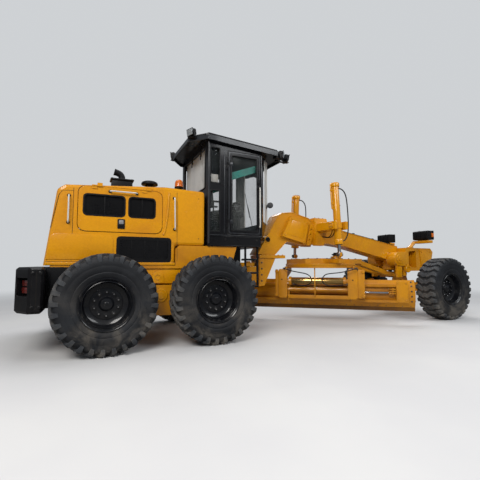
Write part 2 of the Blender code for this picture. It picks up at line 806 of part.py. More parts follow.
# Engine and what stands on the hood
ENGINE_REAR_X = -1.15
ENGINE_FRONT_X = 0.12
ENGINE_HALF = 0.40
ENGINE_TOP_Z = 1.98
EXHAUST_X = -0.55
EXHAUST_Y = -0.25
EXHAUST_RADIUS = 0.055
EXHAUST_BASE_RADIUS = 0.13
EXHAUST_BASE_HEIGHT = 0.06
EXHAUST_TOP_Z = 2.66
EXHAUST_BEND_Z = 2.56
EXHAUST_OUTLET_REACH = 0.14
CLEANER_X = -0.10
CLEANER_Y = -0.25
CLEANER_RADIUS = 0.11
CLEANER_STEM_RADIUS = 0.06
CLEANER_HEIGHT = 0.12
BEACON_X = 0.45
BEACON_Y = -0.10
BEACON_RADIUS = 0.065
BEACON_HEIGHT = 0.11
CAP_TOP_SHARE = 0.8


def hood_top_at(x):
    """Height of the hood's top at a station."""
    if x > HOOD_BREAK_X:
        share = (x - HOOD_BREAK_X) / (HOOD_FRONT_X - HOOD_BREAK_X)
        return HOOD_TOP_Z + share * (HOOD_FRONT_TOP_Z - HOOD_TOP_Z)
    share = (x - HOOD_REAR_SLOPE_X) / (HOOD_BREAK_X - HOOD_REAR_SLOPE_X)
    return HOOD_REAR_SLOPE_Z + share * (HOOD_TOP_Z - HOOD_REAR_SLOPE_Z)


def engine():
    block = box(
        (ENGINE_REAR_X, ENGINE_FRONT_X), (-ENGINE_HALF, ENGINE_HALF), (HOOD_BOTTOM_Z, ENGINE_TOP_Z)
    )
    return part("engine", softened(block, PLATE), GREY)


def exhaust():
    low = hood_top_at(EXHAUST_X + EXHAUST_BASE_RADIUS) + SEAT_GAP
    base = drum("Z", (EXHAUST_X, EXHAUST_Y, 0), EXHAUST_BASE_RADIUS, low, low + EXHAUST_BASE_HEIGHT, 16)
    route = [
        (EXHAUST_X, EXHAUST_Y, low + EXHAUST_BASE_HEIGHT / 2),
        (EXHAUST_X, EXHAUST_Y, EXHAUST_BEND_Z),
        (EXHAUST_X - EXHAUST_RADIUS / 2, EXHAUST_Y, EXHAUST_TOP_Z - EXHAUST_RADIUS),
        (EXHAUST_X - EXHAUST_OUTLET_REACH, EXHAUST_Y, EXHAUST_TOP_Z),
    ]
    return part("exhaust", joined(base, tube(route, EXHAUST_RADIUS, 2)), BLACK)


def air_cleaner():
    low = hood_top_at(CLEANER_X + CLEANER_STEM_RADIUS) + SEAT_GAP
    stem = drum("Z", (CLEANER_X, CLEANER_Y, 0), CLEANER_STEM_RADIUS, low, low + CLEANER_HEIGHT, 12)
    cap = drum(
        "Z",
        (CLEANER_X, CLEANER_Y, 0),
        CLEANER_RADIUS,
        low + CLEANER_HEIGHT / 2,
        low + CLEANER_HEIGHT,
        16,
        CLEANER_RADIUS * CAP_TOP_SHARE,
    )
    return part("air_cleaner", joined(stem, cap), BLACK)


def beacon():
    low = hood_top_at(BEACON_X - BEACON_RADIUS) + SEAT_GAP
    lens = drum(
        "Z",
        (BEACON_X, BEACON_Y, 0),
        BEACON_RADIUS,
        low,
        low + BEACON_HEIGHT,
        16,
        BEACON_RADIUS * CAP_TOP_SHARE,
    )
    return part("beacon", softened(lens, THIN_PLATE), AMBER)


# Cab
CAB_WALL = 0.06
CAB_NOSE_HALF = 0.50
CAB_NOSE_FOOT_X = 1.86
CAB_NOSE_KNEE_Z = 1.95
BASE_BOTTOM_Z = 1.505
QUARTER_REAR_X = 0.80
QUARTER_FRONT_X = 0.98
QUARTER_LOW_Z = 1.75
QUARTER_BAR_LOW_Z = 2.46
QUARTER_BAR_HIGH_Z = 2.58
QUARTER_HIGH_Z = 3.20
CAB_DOOR_REAR_X = 1.12
CAB_DOOR_LOW_Z = 1.71
CAB_DOOR_HIGH_Z = 3.17
CAB_DOOR_THICKNESS = 0.04
CAB_DOOR_RAIL = 0.055
CAB_GLASS_LOW_Z = 1.78
CAB_HINGE_Z = (1.90, 2.90)

GLASS_THICKNESS = 0.008
REAR_WINDOW_HALF = 0.66
REAR_WINDOW_LOW_Z = 2.50
REAR_WINDOW_HIGH_Z = 3.24
WINDSCREEN_LOW_Z = 1.98
WINDSCREEN_HIGH_Z = 3.14
ROOF_THICKNESS = 0.075
ROOF_REAR_X = 0.50
ROOF_REAR_HALF = 0.55
ROOF_SIDE_REAR_X = 0.72
ROOF_HALF = 0.87
ROOF_SIDE_FRONT_X = 2.10
ROOF_FRONT_X = 2.30
ROOF_FRONT_HALF = 0.60
LADDER_REAR_X = 1.46
LADDER_FRONT_X = 1.73
LADDER_BOTTOM_Z = 0.80
LADDER_RUNGS = 3
LADDER_RAIL = 0.03


def cab_hinge_spot(sign):
    """Point on a cab door's hinge axis."""
    return (CAB_DOOR_REAR_X, sign * (HALF_CAB + HINGE_RADIUS + SEAT_GAP), 0)


def cab_plan(inset):
    """Plan of the cab: square at the rear, faceted at the nose."""
    lean = inset / 2
    return mirrored_outline(
        [
            (CAB_REAR_X + inset, HALF_CAB - inset),
            (CAB_DOOR_FRONT_X - lean, HALF_CAB - inset),
            (CAB_NOSE_X - inset, CAB_NOSE_HALF - lean),
        ]
    )


def eave_at(x):
    """Height of the cab's sloping top at a station."""
    share = (x - CAB_REAR_X) / (CAB_NOSE_X - CAB_REAR_X)
    return CAB_EAVE_REAR_Z + share * (CAB_EAVE_FRONT_Z - CAB_EAVE_REAR_Z)


def cab_base():
    """Floor box with the two ladders that hang from it."""
    outline = mirrored_outline(
        [
            (CAB_REAR_X, HALF_CAB),
            (CAB_DOOR_FRONT_X - PLATE, HALF_CAB),
            (CAB_NOSE_FOOT_X - PLATE, CAB_NOSE_HALF),
        ]
    )
    floor = plate("XY", outline, BASE_BOTTOM_Z, CAB_FLOOR_Z)
    pieces = []
    outer = HALF_CAB - PLATE
    for side, sign in SIDES:
        y = (sign * outer, sign * (outer - LADDER_RAIL))
        for x in (LADDER_REAR_X, LADDER_FRONT_X - LADDER_RAIL):
            pieces.append(box((x, x + LADDER_RAIL), y, (LADDER_BOTTOM_Z, BASE_BOTTOM_Z + PLATE)))
        pitch = (BASE_BOTTOM_Z - LADDER_BOTTOM_Z) / LADDER_RUNGS
        for i in range(LADDER_RUNGS):
            z = LADDER_BOTTOM_Z + pitch * i
            tread = (sign * outer, sign * (outer - 5 * LADDER_RAIL))
            pieces.append(box((LADDER_REAR_X, LADDER_FRONT_X), tread, (z, z + LADDER_RAIL)))
    mount_bottom = EAR_TOP_Z + SEAT_GAP
    pieces.append(
        box(
            (CAB_REAR_X + 3 * PLATE, NOSE_END_X - PLATE),
            (-NOSE_HALF / 2, NOSE_HALF / 2),
            (mount_bottom, BASE_BOTTOM_Z + PLATE),
        )
    )
    return part("cab_base", joined(floor, *pieces), BLACK)


def cab_frame():
    """Cab shell: pillars, rails and roof beams left by the window and door openings."""
    low = CAB_FLOOR_Z + SEAT_GAP
    shell = plate("XY", cab_plan(0), low, CAB_EAVE_REAR_Z)
    profile = [
        (CAB_REAR_X - OVERRUN, low - OVERRUN),
        (CAB_NOSE_FOOT_X, low - OVERRUN),
        (CAB_NOSE_FOOT_X, low),
        (CAB_NOSE_X + OVERRUN / 5, CAB_NOSE_KNEE_Z),
        (CAB_NOSE_X + OVERRUN / 5, eave_at(CAB_NOSE_X + OVERRUN / 5)),
        (CAB_REAR_X - OVERRUN, eave_at(CAB_REAR_X - OVERRUN)),
    ]
    keep = plate("XZ", profile, -HALF_CAB - OVERRUN, HALF_CAB + OVERRUN)
    boolean(shell, "INTERSECT", [keep])
    wall = CAB_WALL
    inside = plate("XY", cab_plan(wall), low - OVERRUN, CAB_EAVE_REAR_Z)
    inner_profile = [
        (CAB_REAR_X, low - OVERRUN),
        (CAB_NOSE_FOOT_X - wall, low - OVERRUN),
        (CAB_NOSE_FOOT_X - wall, low),
        (CAB_NOSE_X - wall, CAB_NOSE_KNEE_Z),
        (CAB_NOSE_X, CAB_NOSE_KNEE_Z + wall),
        (CAB_NOSE_X, eave_at(CAB_NOSE_X) - wall),
        (CAB_REAR_X, eave_at(CAB_REAR_X) - wall),
    ]
    boolean(inside, "INTERSECT", [plate("XZ", inner_profile, -HALF_CAB - OVERRUN, HALF_CAB + OVERRUN)])
    openings = [inside]
    through = (-HALF_CAB - OVERRUN, HALF_CAB + OVERRUN)
    openings.append(box((QUARTER_REAR_X, QUARTER_FRONT_X), through, (QUARTER_LOW_Z, QUARTER_BAR_LOW_Z)))
    openings.append(box((QUARTER_REAR_X, QUARTER_FRONT_X), through, (QUARTER_BAR_HIGH_Z, QUARTER_HIGH_Z)))
    openings.append(
        box((CAB_DOOR_REAR_X, CAB_DOOR_FRONT_X - PLATE), through, (CAB_DOOR_LOW_Z, CAB_DOOR_HIGH_Z))
    )
    openings.append(
        box(
            (CAB_REAR_X - OVERRUN, CAB_REAR_X + OVERRUN + wall),
            (-REAR_WINDOW_HALF, REAR_WINDOW_HALF),
            (REAR_WINDOW_LOW_Z, REAR_WINDOW_HIGH_Z),
        )
    )
    nose = (CAB_NOSE_HALF + HALF_CAB) / 2
    openings.append(
        box(
            (CAB_DOOR_FRONT_X + PLATE, CAB_NOSE_X + OVERRUN),
            (-nose - OVERRUN, nose + OVERRUN),
            (WINDSCREEN_LOW_Z, WINDSCREEN_HIGH_Z),
        )
    )
    cut(shell, *openings)
    for side, sign in SIDES:
        for z in CAB_HINGE_Z:
            low_z = z - HINGE_LENGTH - SEAT_GAP
            joined(shell, hinge_half("Z", cab_hinge_spot(sign), low_z, ("Y", -sign), ("X", -1)))
    return part("cab_frame", shell, BLACK)


def windscreen():
    """One pane wrapped round the cab's nose, inside the frame."""
    outer = cab_plan(CAB_WALL + 2 * SEAT_GAP)
    inner = cab_plan(CAB_WALL + 2 * SEAT_GAP + GLASS_THICKNESS)
    outline = outer[1:5] + inner[4:0:-1]
    pane = plate("XY", outline, WINDSCREEN_LOW_Z - OVERRUN / 2, WINDSCREEN_HIGH_Z + OVERRUN / 2)
    return part("windscreen", pane, GLASS)


def cab_windows():
    inner_x = CAB_REAR_X + CAB_WALL + SEAT_GAP
    pane = box(
        (inner_x, inner_x + GLASS_THICKNESS),
        (-REAR_WINDOW_HALF - PLATE, REAR_WINDOW_HALF + PLATE),
        (REAR_WINDOW_LOW_Z - PLATE, eave_at(CAB_REAR_X) - CAB_WALL - PLATE),
    )
    part("rear_window", pane, GLASS)
    for side, sign in SIDES:
        y = sign * (HALF_CAB - CAB_WALL - SEAT_GAP)
        quarter = box(
            (inner_x + PLATE / 2, QUARTER_FRONT_X + PLATE),
            (y, y - sign * GLASS_THICKNESS),
            (QUARTER_LOW_Z - PLATE, QUARTER_HIGH_Z + PLATE / 2),
        )
        part(f"quarter_window_{side}", quarter, GLASS)


def cab_roof():
    outline = mirrored_outline(
        [
            (ROOF_REAR_X, ROOF_REAR_HALF),
            (ROOF_SIDE_REAR_X, ROOF_HALF),
            (ROOF_SIDE_FRONT_X, ROOF_HALF),
            (ROOF_FRONT_X, ROOF_FRONT_HALF),
        ]
    )
    slab = plate("XY", outline, 0, ROOF_THICKNESS)
    slab = softened(slab, ROOF_THICKNESS / 3)
    slope = math.atan2(CAB_EAVE_REAR_Z - CAB_EAVE_FRONT_Z, CAB_NOSE_X - CAB_REAR_X)
    turn = Matrix.Rotation(slope, 4, "Y")
    rear_z = eave_at(0) + SEAT_GAP
    slab.data.transform(Matrix.Translation((0, 0, rear_z)) @ turn)
    return part("cab_roof", slab, BLACK)


def cab_door(side, sign):
    """Full-height door, flush with the cab's side, with its pane inside it."""
    gap = DOOR_GAP
    rear, front = CAB_DOOR_REAR_X + gap, CAB_DOOR_FRONT_X - PLATE - gap
    low, high = CAB_DOOR_LOW_Z + gap, CAB_DOOR_HIGH_Z - gap
    outer, inner = sign * HALF_CAB, sign * (HALF_CAB - CAB_DOOR_THICKNESS)
    panel = box((rear, front), (inner, outer), (low, high))
    rail = CAB_DOOR_RAIL
    window = box(
        (rear + rail, front - rail),
        (inner - sign * OVERRUN, outer + sign * OVERRUN),
        (CAB_GLASS_LOW_Z, high - rail),
    )
    cut(panel, window)
    for z in CAB_HINGE_Z:
        joined(panel, hinge_half("Z", cab_hinge_spot(sign), z, ("Y", -sign), ("X", 1)))
    part(f"cab_door_{side}", panel, BLACK, pivot=cab_hinge_spot(sign))
    y = inner - sign * SEAT_GAP
    pane = box(
        (rear + rail - PLATE / 2, front - rail + PLATE / 2),
        (y, y - sign * GLASS_THICKNESS),
        (CAB_GLASS_LOW_Z - PLATE / 2, high - rail + PLATE / 2),
    )
    part(f"door_glass_{side}", pane, GLASS, pivot=cab_hinge_spot(sign))


SEAT_X = 1.02
SEAT_HALF = 0.25
SEAT_DEPTH = 0.46
SEAT_Z = 2.10
CUSHION = 0.12
BACK_HEIGHT = 0.62
CONSOLE_X = 1.62
CONSOLE_HALF = 0.14
CONSOLE_DEPTH = 0.14
CONSOLE_TOP_Z = 2.32
STEERING_RADIUS = 0.19
STEERING_TUBE = 0.015
STEERING_LEAN = 0.12


def seat():
    cushion = softened(
        box((SEAT_X, SEAT_X + SEAT_DEPTH), (-SEAT_HALF, SEAT_HALF), (SEAT_Z, SEAT_Z + CUSHION)), PLATE
    )
    back = softened(
        box(
            (SEAT_X - CUSHION / 2, SEAT_X + CUSHION / 2),
            (-SEAT_HALF, SEAT_HALF),
            (SEAT_Z, SEAT_Z + BACK_HEIGHT),
        ),
        PLATE
    )
    foot = box(
        (SEAT_X + CUSHION / 2, SEAT_X + SEAT_DEPTH - CUSHION / 2),
        (-SEAT_HALF + PLATE, SEAT_HALF - PLATE),
        (CAB_FLOOR_Z + SEAT_GAP, SEAT_Z + PLATE),
    )
    return part("seat", joined(cushion, back, foot), VINYL)


def console():
    """Steering column with its wheel and the lever box at its side."""
    column = plate(
        "XZ",
        [
            (CONSOLE_X - CONSOLE_DEPTH / 2, CAB_FLOOR_Z + SEAT_GAP),
            (CONSOLE_X + CONSOLE_DEPTH / 2, CAB_FLOOR_Z + SEAT_GAP),
            (CONSOLE_X + CONSOLE_DEPTH / 2 - STEERING_LEAN / 2, CONSOLE_TOP_Z),
            (CONSOLE_X - CONSOLE_DEPTH / 2 - STEERING_LEAN / 2, CONSOLE_TOP_Z),
        ],
        -CONSOLE_HALF,
        CONSOLE_HALF,
    )
    hub_x = CONSOLE_X - STEERING_LEAN / 2
    wheel_z = CONSOLE_TOP_Z + PLATE
    disc = drum("Z", (hub_x, 0, 0), STEERING_RADIUS, wheel_z - STEERING_TUBE, wheel_z + STEERING_TUBE, 20)
    stem = drum("Z", (hub_x, 0, 0), PLATE, CONSOLE_TOP_Z - PLATE, wheel_z, 10)
    return part("console", joined(column, stem, disc), BLACK)


# Front frame: hinge bracket, gooseneck, beam and head
NECK_HALF = 0.17
HEAD_HALF = 0.42
BRACKET_HALF = 0.17
BRACKET_REAR_X = 2.06
BRACKET_FRONT_TOP_X = 2.43
BRACKET_FRONT_BOTTOM_X = 2.18
BRACKET_TOP_Z = 1.33
KNUCKLE_RADIUS = 0.13
LEG_FLANGE_FRONT_X = 2.66
FLANGE_Z = 1.36
NECK_LENGTH = 4.08
NECK_HEIGHT = 0.94
NECK_TOP_SHARES = (
    (0.032, 0.053),
    (0.150, 0.904),
    (0.172, 0.968),
    (0.233, 1.0),
    (0.338, 0.894),
    (0.353, 0.819),
    (0.471, 0.819),
    (0.502, 0.755),
    (0.588, 0.617),
    (1.0, 0.309),
)
NECK_UNDER_SHARES = (
    (1.0, -0.117),
    (0.588, 0.266),
    (0.466, 0.319),
    (0.301, 0.277),
    (0.201, 0.340),
    (0.120, 0.0),
)
SADDLE_SEAT_SHARE = 0.819
COVER_HALF = 0.26
COVER_SHARES = ((0.162, 0.447), (0.216, 0.894), (0.324, 0.809), (0.299, 0.298))
BOSS_X_SHARE = 0.088
BOSS_Z_SHARE = 0.367
BOSS_RADIUS = 0.07
HEAD_REAR_X = 5.96
HEAD_TOP_Z = 1.61
HEAD_BOTTOM_Z = 1.05
HEAD_SHARES = ((0.0, 0.339), (0.0, 1.0), (0.909, 1.0), (1.0, 0.839), (0.869, 0.0), (0.091, 0.0))
RECESS_SHARES = ((0.101, 0.196), (0.101, 0.839), (0.364, 0.875), (0.364, 0.125))
HEAD_RECESS_DEPTH = 0.16
BALL_X = 5.90
BALL_Z = 0.96
BALL_RADIUS = 0.075
SOCKET_BOTTOM_Z = 1.08
SWING_PIN_RADIUS = 0.045
SOCKET_HALF = 0.12
SADDLE_HALF_LENGTH = 0.17
SADDLE_TOP_Z = 2.21
SADDLE_ARM_LOW_Z = 1.91
SADDLE_ARM_HIGH_Z = 2.07
SADDLE_END_Y = 0.86
SADDLE_SLOT_Y = 0.62
SLOT_HALF = 0.105
LINK_BAR_LENGTH = 0.20
LINK_BAR_WIDTH = 0.09
LINK_BAR_DROP = 0.30
LINK_HOLE_RADIUS = 0.020
LINK_HOLES = 3

HITCH_SPOT = (HITCH_X, 0, 0)
BALL_SPOT = (BALL_X, 0, BALL_Z)
NECK_START = (HITCH_X, FLANGE_Z)
NECK_SPAN = (NECK_LENGTH, NECK_HEIGHT)
HEAD_START = (HEAD_REAR_X, HEAD_BOTTOM_Z)
HEAD_SPAN = (FRONT_END_X - HEAD_REAR_X, HEAD_TOP_Z - HEAD_BOTTOM_Z)


def front_frame():
    leg = plate(
        "XZ", spread(NECK_TOP_SHARES + NECK_UNDER_SHARES, NECK_START, NECK_SPAN), -NECK_HALF, NECK_HALF
    )
    flange = box(
        (BRACKET_REAR_X, LEG_FLANGE_FRONT_X),
        (-BRACKET_HALF - PLATE, BRACKET_HALF + PLATE),
        (BRACKET_TOP_Z, FLANGE_Z + PLATE),
    )
    web = plate(
        "XZ",
        [
            (BRACKET_REAR_X, EAR_BOTTOM_Z),
            (BRACKET_FRONT_BOTTOM_X, EAR_BOTTOM_Z),
            (BRACKET_FRONT_TOP_X, BRACKET_TOP_Z - PLATE),
            (BRACKET_FRONT_TOP_X, BRACKET_TOP_Z + PLATE),
            (BRACKET_REAR_X, BRACKET_TOP_Z + PLATE),
        ],
        -BRACKET_HALF,
        BRACKET_HALF,
    )
    low = EAR_BOTTOM_Z + EAR_THICKNESS + SEAT_GAP
    high = EAR_TOP_Z - EAR_THICKNESS - RUNNING_GAP
    knuckle_outline = arc((HITCH_X, 0), KNUCKLE_RADIUS, 90, 270, 9)
    knuckle_outline += [
        (BRACKET_REAR_X + OVERRUN, -KNUCKLE_RADIUS), (BRACKET_REAR_X + OVERRUN, KNUCKLE_RADIUS)
    ]
    knuckle = plate("XY", knuckle_outline, low, high)
    head_outline = spread(HEAD_SHARES, HEAD_START, HEAD_SPAN)
    head = plate("XZ", head_outline, -HEAD_HALF, HEAD_HALF)
    cover = plate("XZ", spread(COVER_SHARES, NECK_START, NECK_SPAN), -COVER_HALF, COVER_HALF)
    [(boss_x, boss_z)] = spread([(BOSS_X_SHARE, BOSS_Z_SHARE)], NECK_START, NECK_SPAN)
    boss_half = NECK_HALF + PLATE / 2
    boss = drum("Y", (boss_x, 0, boss_z), BOSS_RADIUS, -boss_half, boss_half, 16)
    socket = box(
        (BALL_X - SOCKET_HALF, head_outline[-1][0] + OVERRUN),
        (-SOCKET_HALF, SOCKET_HALF),
        (SOCKET_BOTTOM_Z, head_outline[0][1] + 2 * PLATE),
    )
    body = joined(leg, flange, web, knuckle, head, cover, boss, socket)
    bore_radius = HITCH_PIN_RADIUS + RUNNING_GAP
    depth = PLATE + RUNNING_GAP
    bores = [
        drum("Z", (HITCH_X, 0, 0), bore_radius, low - OVERRUN, low + depth, 12),
        drum("Z", (HITCH_X, 0, 0), bore_radius, high - depth, high + OVERRUN, 12),
        drum("Y", (boss_x, 0, boss_z), BOSS_RADIUS / 2, -boss_half - OVERRUN, -NECK_HALF, 12),
        drum("Y", (boss_x, 0, boss_z), BOSS_RADIUS / 2, NECK_HALF, boss_half + OVERRUN, 12),
    ]
    recess_outline = spread(RECESS_SHARES, HEAD_START, HEAD_SPAN)
    recesses = [
        plate("XZ", recess_outline, sign * (HEAD_HALF - HEAD_RECESS_DEPTH), sign * (HEAD_HALF + OVERRUN))
        for side, sign in SIDES
    ]
    return part("front_frame", cut(body, *bores, *recesses), YELLOW, pivot=HITCH_SPOT)


def lift_saddle():
    """Yoke over the beam, with a fork at each end for a lift cylinder's trunnion and a holed bar behind."""
    half = NECK_HALF + SEAT_GAP
    top = FLANGE_Z + SADDLE_SEAT_SHARE * NECK_HEIGHT + SEAT_GAP
    outline = mirrored_outline(
        [
            (SADDLE_TOP_Z, NECK_HALF + PLATE),
            (SADDLE_ARM_HIGH_Z, NECK_HALF + 3 * PLATE),
            (SADDLE_ARM_HIGH_Z, SADDLE_END_Y),
            (SADDLE_ARM_LOW_Z, SADDLE_END_Y),
            (SADDLE_ARM_LOW_Z, half),
            (top, half),
        ]
    )
    rear_x = LIFT_X - SADDLE_HALF_LENGTH
    yoke = plate("YZ", [(y, z) for z, y in outline], rear_x, LIFT_X + SADDLE_HALF_LENGTH)
    cuts = []
    for side, sign in SIDES:
        cuts.append(
            box(
                (LIFT_X - SLOT_HALF, LIFT_X + SLOT_HALF),
                (sign * SADDLE_SLOT_Y, sign * (SADDLE_END_Y + OVERRUN)),
                (SADDLE_ARM_LOW_Z - OVERRUN, SADDLE_ARM_HIGH_Z + OVERRUN),
            )
        )
        foot_x, foot_z = rear_x - LINK_BAR_LENGTH, SADDLE_ARM_LOW_Z - LINK_BAR_DROP
        bar = plate(
            "XZ",
            [
                (rear_x + PLATE, SADDLE_ARM_HIGH_Z),
                (rear_x - LINK_BAR_WIDTH, SADDLE_ARM_HIGH_Z),
                (foot_x, foot_z),
                (foot_x + LINK_BAR_WIDTH, foot_z),
                (rear_x + PLATE, SADDLE_ARM_LOW_Z),
            ],
            sign * half,
            sign * (half + PLATE),
        )
        joined(yoke, bar)
        for i in range(LINK_HOLES):
            share = (i + 1) / (LINK_HOLES + 1)
            x = foot_x + LINK_BAR_WIDTH / 2 + share * (rear_x - LINK_BAR_WIDTH - foot_x)
            z = foot_z + share * (SADDLE_ARM_HIGH_Z - foot_z)
            reach = (sign * (half - OVERRUN / 2), sign * (half + PLATE + OVERRUN))
            cuts.append(drum("Y", (x, 0, z), LINK_HOLE_RADIUS, *reach, 8))
    return part("lift_saddle", cut(yoke, *cuts), YELLOW, pivot=HITCH_SPOT)


# Lift cylinders
LIFT_TOP_Z = 2.86
BARREL_BOTTOM_Z = 1.62
BARREL_RADIUS = 0.07
BARREL_GLAND_RADIUS = 0.085
TRUNNION_RADIUS = 0.035
TRUNNION_BOX_HALF = 0.088
ROD_RADIUS = 0.035
ROD_TOP_SHARE = 0.80
LIFT_EYE_Y = 0.785
LIFT_EYE_Z = 1.405
EYE_RADIUS = 0.05


def lift_axis(sign):
    """Unit vector up the cylinder, which leans in at the top."""
    eye = Vector((LIFT_X, sign * LIFT_EYE_Y, LIFT_EYE_Z))
    trunnion = Vector((LIFT_X, sign * LIFT_TRUNNION_Y, LIFT_TRUNNION_Z))
    return (trunnion - eye).normalized(), trunnion


def along(sign, z):
    """Point on the cylinder's axis at a height."""
    axis, trunnion = lift_axis(sign)
    return trunnion + axis * ((z - trunnion.z) / axis.z)


def lift_cylinder(side, sign):
    barrel = rod_between(along(sign, BARREL_BOTTOM_Z), along(sign, LIFT_TOP_Z), BARREL_RADIUS, 12)
    gland = rod_between(
        along(sign, BARREL_BOTTOM_Z - THIN_PLATE),
        along(sign, BARREL_BOTTOM_Z + 3 * PLATE),
        BARREL_GLAND_RADIUS,
        12
    )
    cap = rod_between(
        along(sign, LIFT_TOP_Z - 2 * PLATE), along(sign, LIFT_TOP_Z + THIN_PLATE), BARREL_GLAND_RADIUS, 12
    )
    collar = rod_between(
        along(sign, LIFT_TRUNNION_Z - 2 * PLATE),
        along(sign, LIFT_TRUNNION_Z + 2 * PLATE),
        TRUNNION_BOX_HALF,
        12
    )
    spot = along(sign, LIFT_TRUNNION_Z)
    pin_half = SLOT_HALF - SEAT_GAP
    pins = drum("X", spot, TRUNNION_RADIUS, LIFT_X - pin_half, LIFT_X + pin_half, 12)
    body = joined(barrel, gland, cap, collar, pins)
    bore_top = along(sign, LIFT_TOP_Z - PLATE)
    bore = rod_between(along(sign, BARREL_BOTTOM_Z - OVERRUN), bore_top, ROD_RADIUS + 2 * SEAT_GAP, 12)
    part(f"lift_barrel_{side}", cut(body, bore), YELLOW, pivot=spot)
    rod_top = BARREL_BOTTOM_Z + (LIFT_TOP_Z - BARREL_BOTTOM_Z) * ROD_TOP_SHARE
    rod = rod_between(along(sign, LIFT_EYE_Z), along(sign, rod_top), ROD_RADIUS, 12)
    eye = along(sign, LIFT_EYE_Z)
    ball = drum("X", eye, EYE_RADIUS, LIFT_X - EYE_RADIUS, LIFT_X + EYE_RADIUS, 12)
    part(f"lift_rod_{side}", joined(rod, ball), CHROME, pivot=eye)


# Headlamps on their brackets
LAMP_X = 6.43
LAMP_Y = 0.55
LAMP_Z = 1.80
LAMP_LENGTH = 0.24
LAMP_WIDTH = 0.40
LAMP_HEIGHT = 0.22
BRACKET_TUBE = 0.03


def headlamp(side, sign):
    lamp = softened(
        box(
            (LAMP_X - LAMP_LENGTH / 2, LAMP_X + LAMP_LENGTH / 2),
            (sign * LAMP_Y - LAMP_WIDTH / 2, sign * LAMP_Y + LAMP_WIDTH / 2),
            (LAMP_Z, LAMP_Z + LAMP_HEIGHT),
        ),
        PLATE,
    )
    foot_z = HEAD_TOP_Z + BRACKET_TUBE
    foot_x, foot_y = LAMP_X - LAMP_LENGTH, HEAD_HALF - 2 * BRACKET_TUBE
    pad = box(
        (foot_x - 2 * BRACKET_TUBE, foot_x + BRACKET_TUBE),
        (sign * (foot_y - BRACKET_TUBE), sign * (foot_y + BRACKET_TUBE)),
        (HEAD_TOP_Z + SEAT_GAP, foot_z),
    )
    stay = tube(
        [
            (foot_x, sign * foot_y, foot_z),
            (LAMP_X, sign * (LAMP_Y - LAMP_WIDTH / 3), LAMP_Z - PLATE),
            (LAMP_X, sign * LAMP_Y, LAMP_Z + PLATE),
        ],
        BRACKET_TUBE,
    )
    return part(f"headlamp_{side}", joined(lamp, stay, pad), BLACK, pivot=HITCH_SPOT)


# Front axle, lean yokes, steering knuckles
AXLE_HALF_HEIGHT = 0.10
AXLE_HALF_LENGTH = 0.10
LEAN_PIN_INSET = 0.378
LEAN_PIN_RADIUS = 0.035
YOKE_HALF_HEIGHT = 0.09
YOKE_HALF_LENGTH = 0.055
KINGPIN_INSET = 0.208
KNUCKLE_HALF_HEIGHT = 0.15
SPINDLE_RADIUS = 0.07
LEAN_Y = FRONT_WHEEL_Y - LEAN_PIN_INSET
KINGPIN_Y = FRONT_WHEEL_Y - KINGPIN_INSET


def front_axle():
    z = WHEEL_RADIUS
    x = WHEELBASE
    centre = box(
        (x - AXLE_HALF_LENGTH, x + AXLE_HALF_LENGTH),
        (-LEAN_Y + YOKE_HALF_HEIGHT, LEAN_Y - YOKE_HALF_HEIGHT),
        (z - AXLE_HALF_HEIGHT, z + AXLE_HALF_HEIGHT),
    )
    saddle = plate(
        "YZ",
        [
            (-4 * PLATE - OVERRUN, z + AXLE_HALF_HEIGHT - PLATE),
            (4 * PLATE + OVERRUN, z + AXLE_HALF_HEIGHT - PLATE),
            (3 * PLATE, HEAD_BOTTOM_Z - SEAT_GAP),
            (-3 * PLATE, HEAD_BOTTOM_Z - SEAT_GAP),
        ],
        x - AXLE_HALF_LENGTH,
        x + AXLE_HALF_LENGTH,
    )
    ends = []
    for side, sign in SIDES:
        for shift in (-1, 1):
            inner, outer = YOKE_HALF_LENGTH + SEAT_GAP, AXLE_HALF_LENGTH
            ends.append(
                box(
                    (x + shift * inner, x + shift * outer),
                    (sign * (LEAN_Y - YOKE_HALF_HEIGHT - PLATE), sign * (LEAN_Y + 2 * LEAN_PIN_RADIUS)),
                    (z - AXLE_HALF_HEIGHT, z + AXLE_HALF_HEIGHT),
                )
            )
    return part("front_axle", joined(centre, saddle, *ends), YELLOW, pivot=HITCH_SPOT)


def lean_yoke(side, sign):
    z, x = WHEEL_RADIUS, WHEELBASE
    inner_y = LEAN_Y - YOKE_HALF_HEIGHT + 2 * RUNNING_GAP
    eye = drum("X", (0, sign * LEAN_Y, z), LEAN_Y - inner_y, x - YOKE_HALF_LENGTH, x + YOKE_HALF_LENGTH, 16)
    arm = box(
        (x - YOKE_HALF_LENGTH, x + YOKE_HALF_LENGTH),
        (sign * LEAN_Y, sign * KINGPIN_Y),
        (z - YOKE_HALF_HEIGHT / 2, z + YOKE_HALF_HEIGHT / 2),
    )
    barrel = drum(
        "Z", (x, sign * KINGPIN_Y, 0), YOKE_HALF_LENGTH, z - YOKE_HALF_HEIGHT, z + YOKE_HALF_HEIGHT, 16
    )
    return part(f"lean_yoke_{side}", joined(eye, arm, barrel), YELLOW, pivot=(x, sign * LEAN_Y, z))


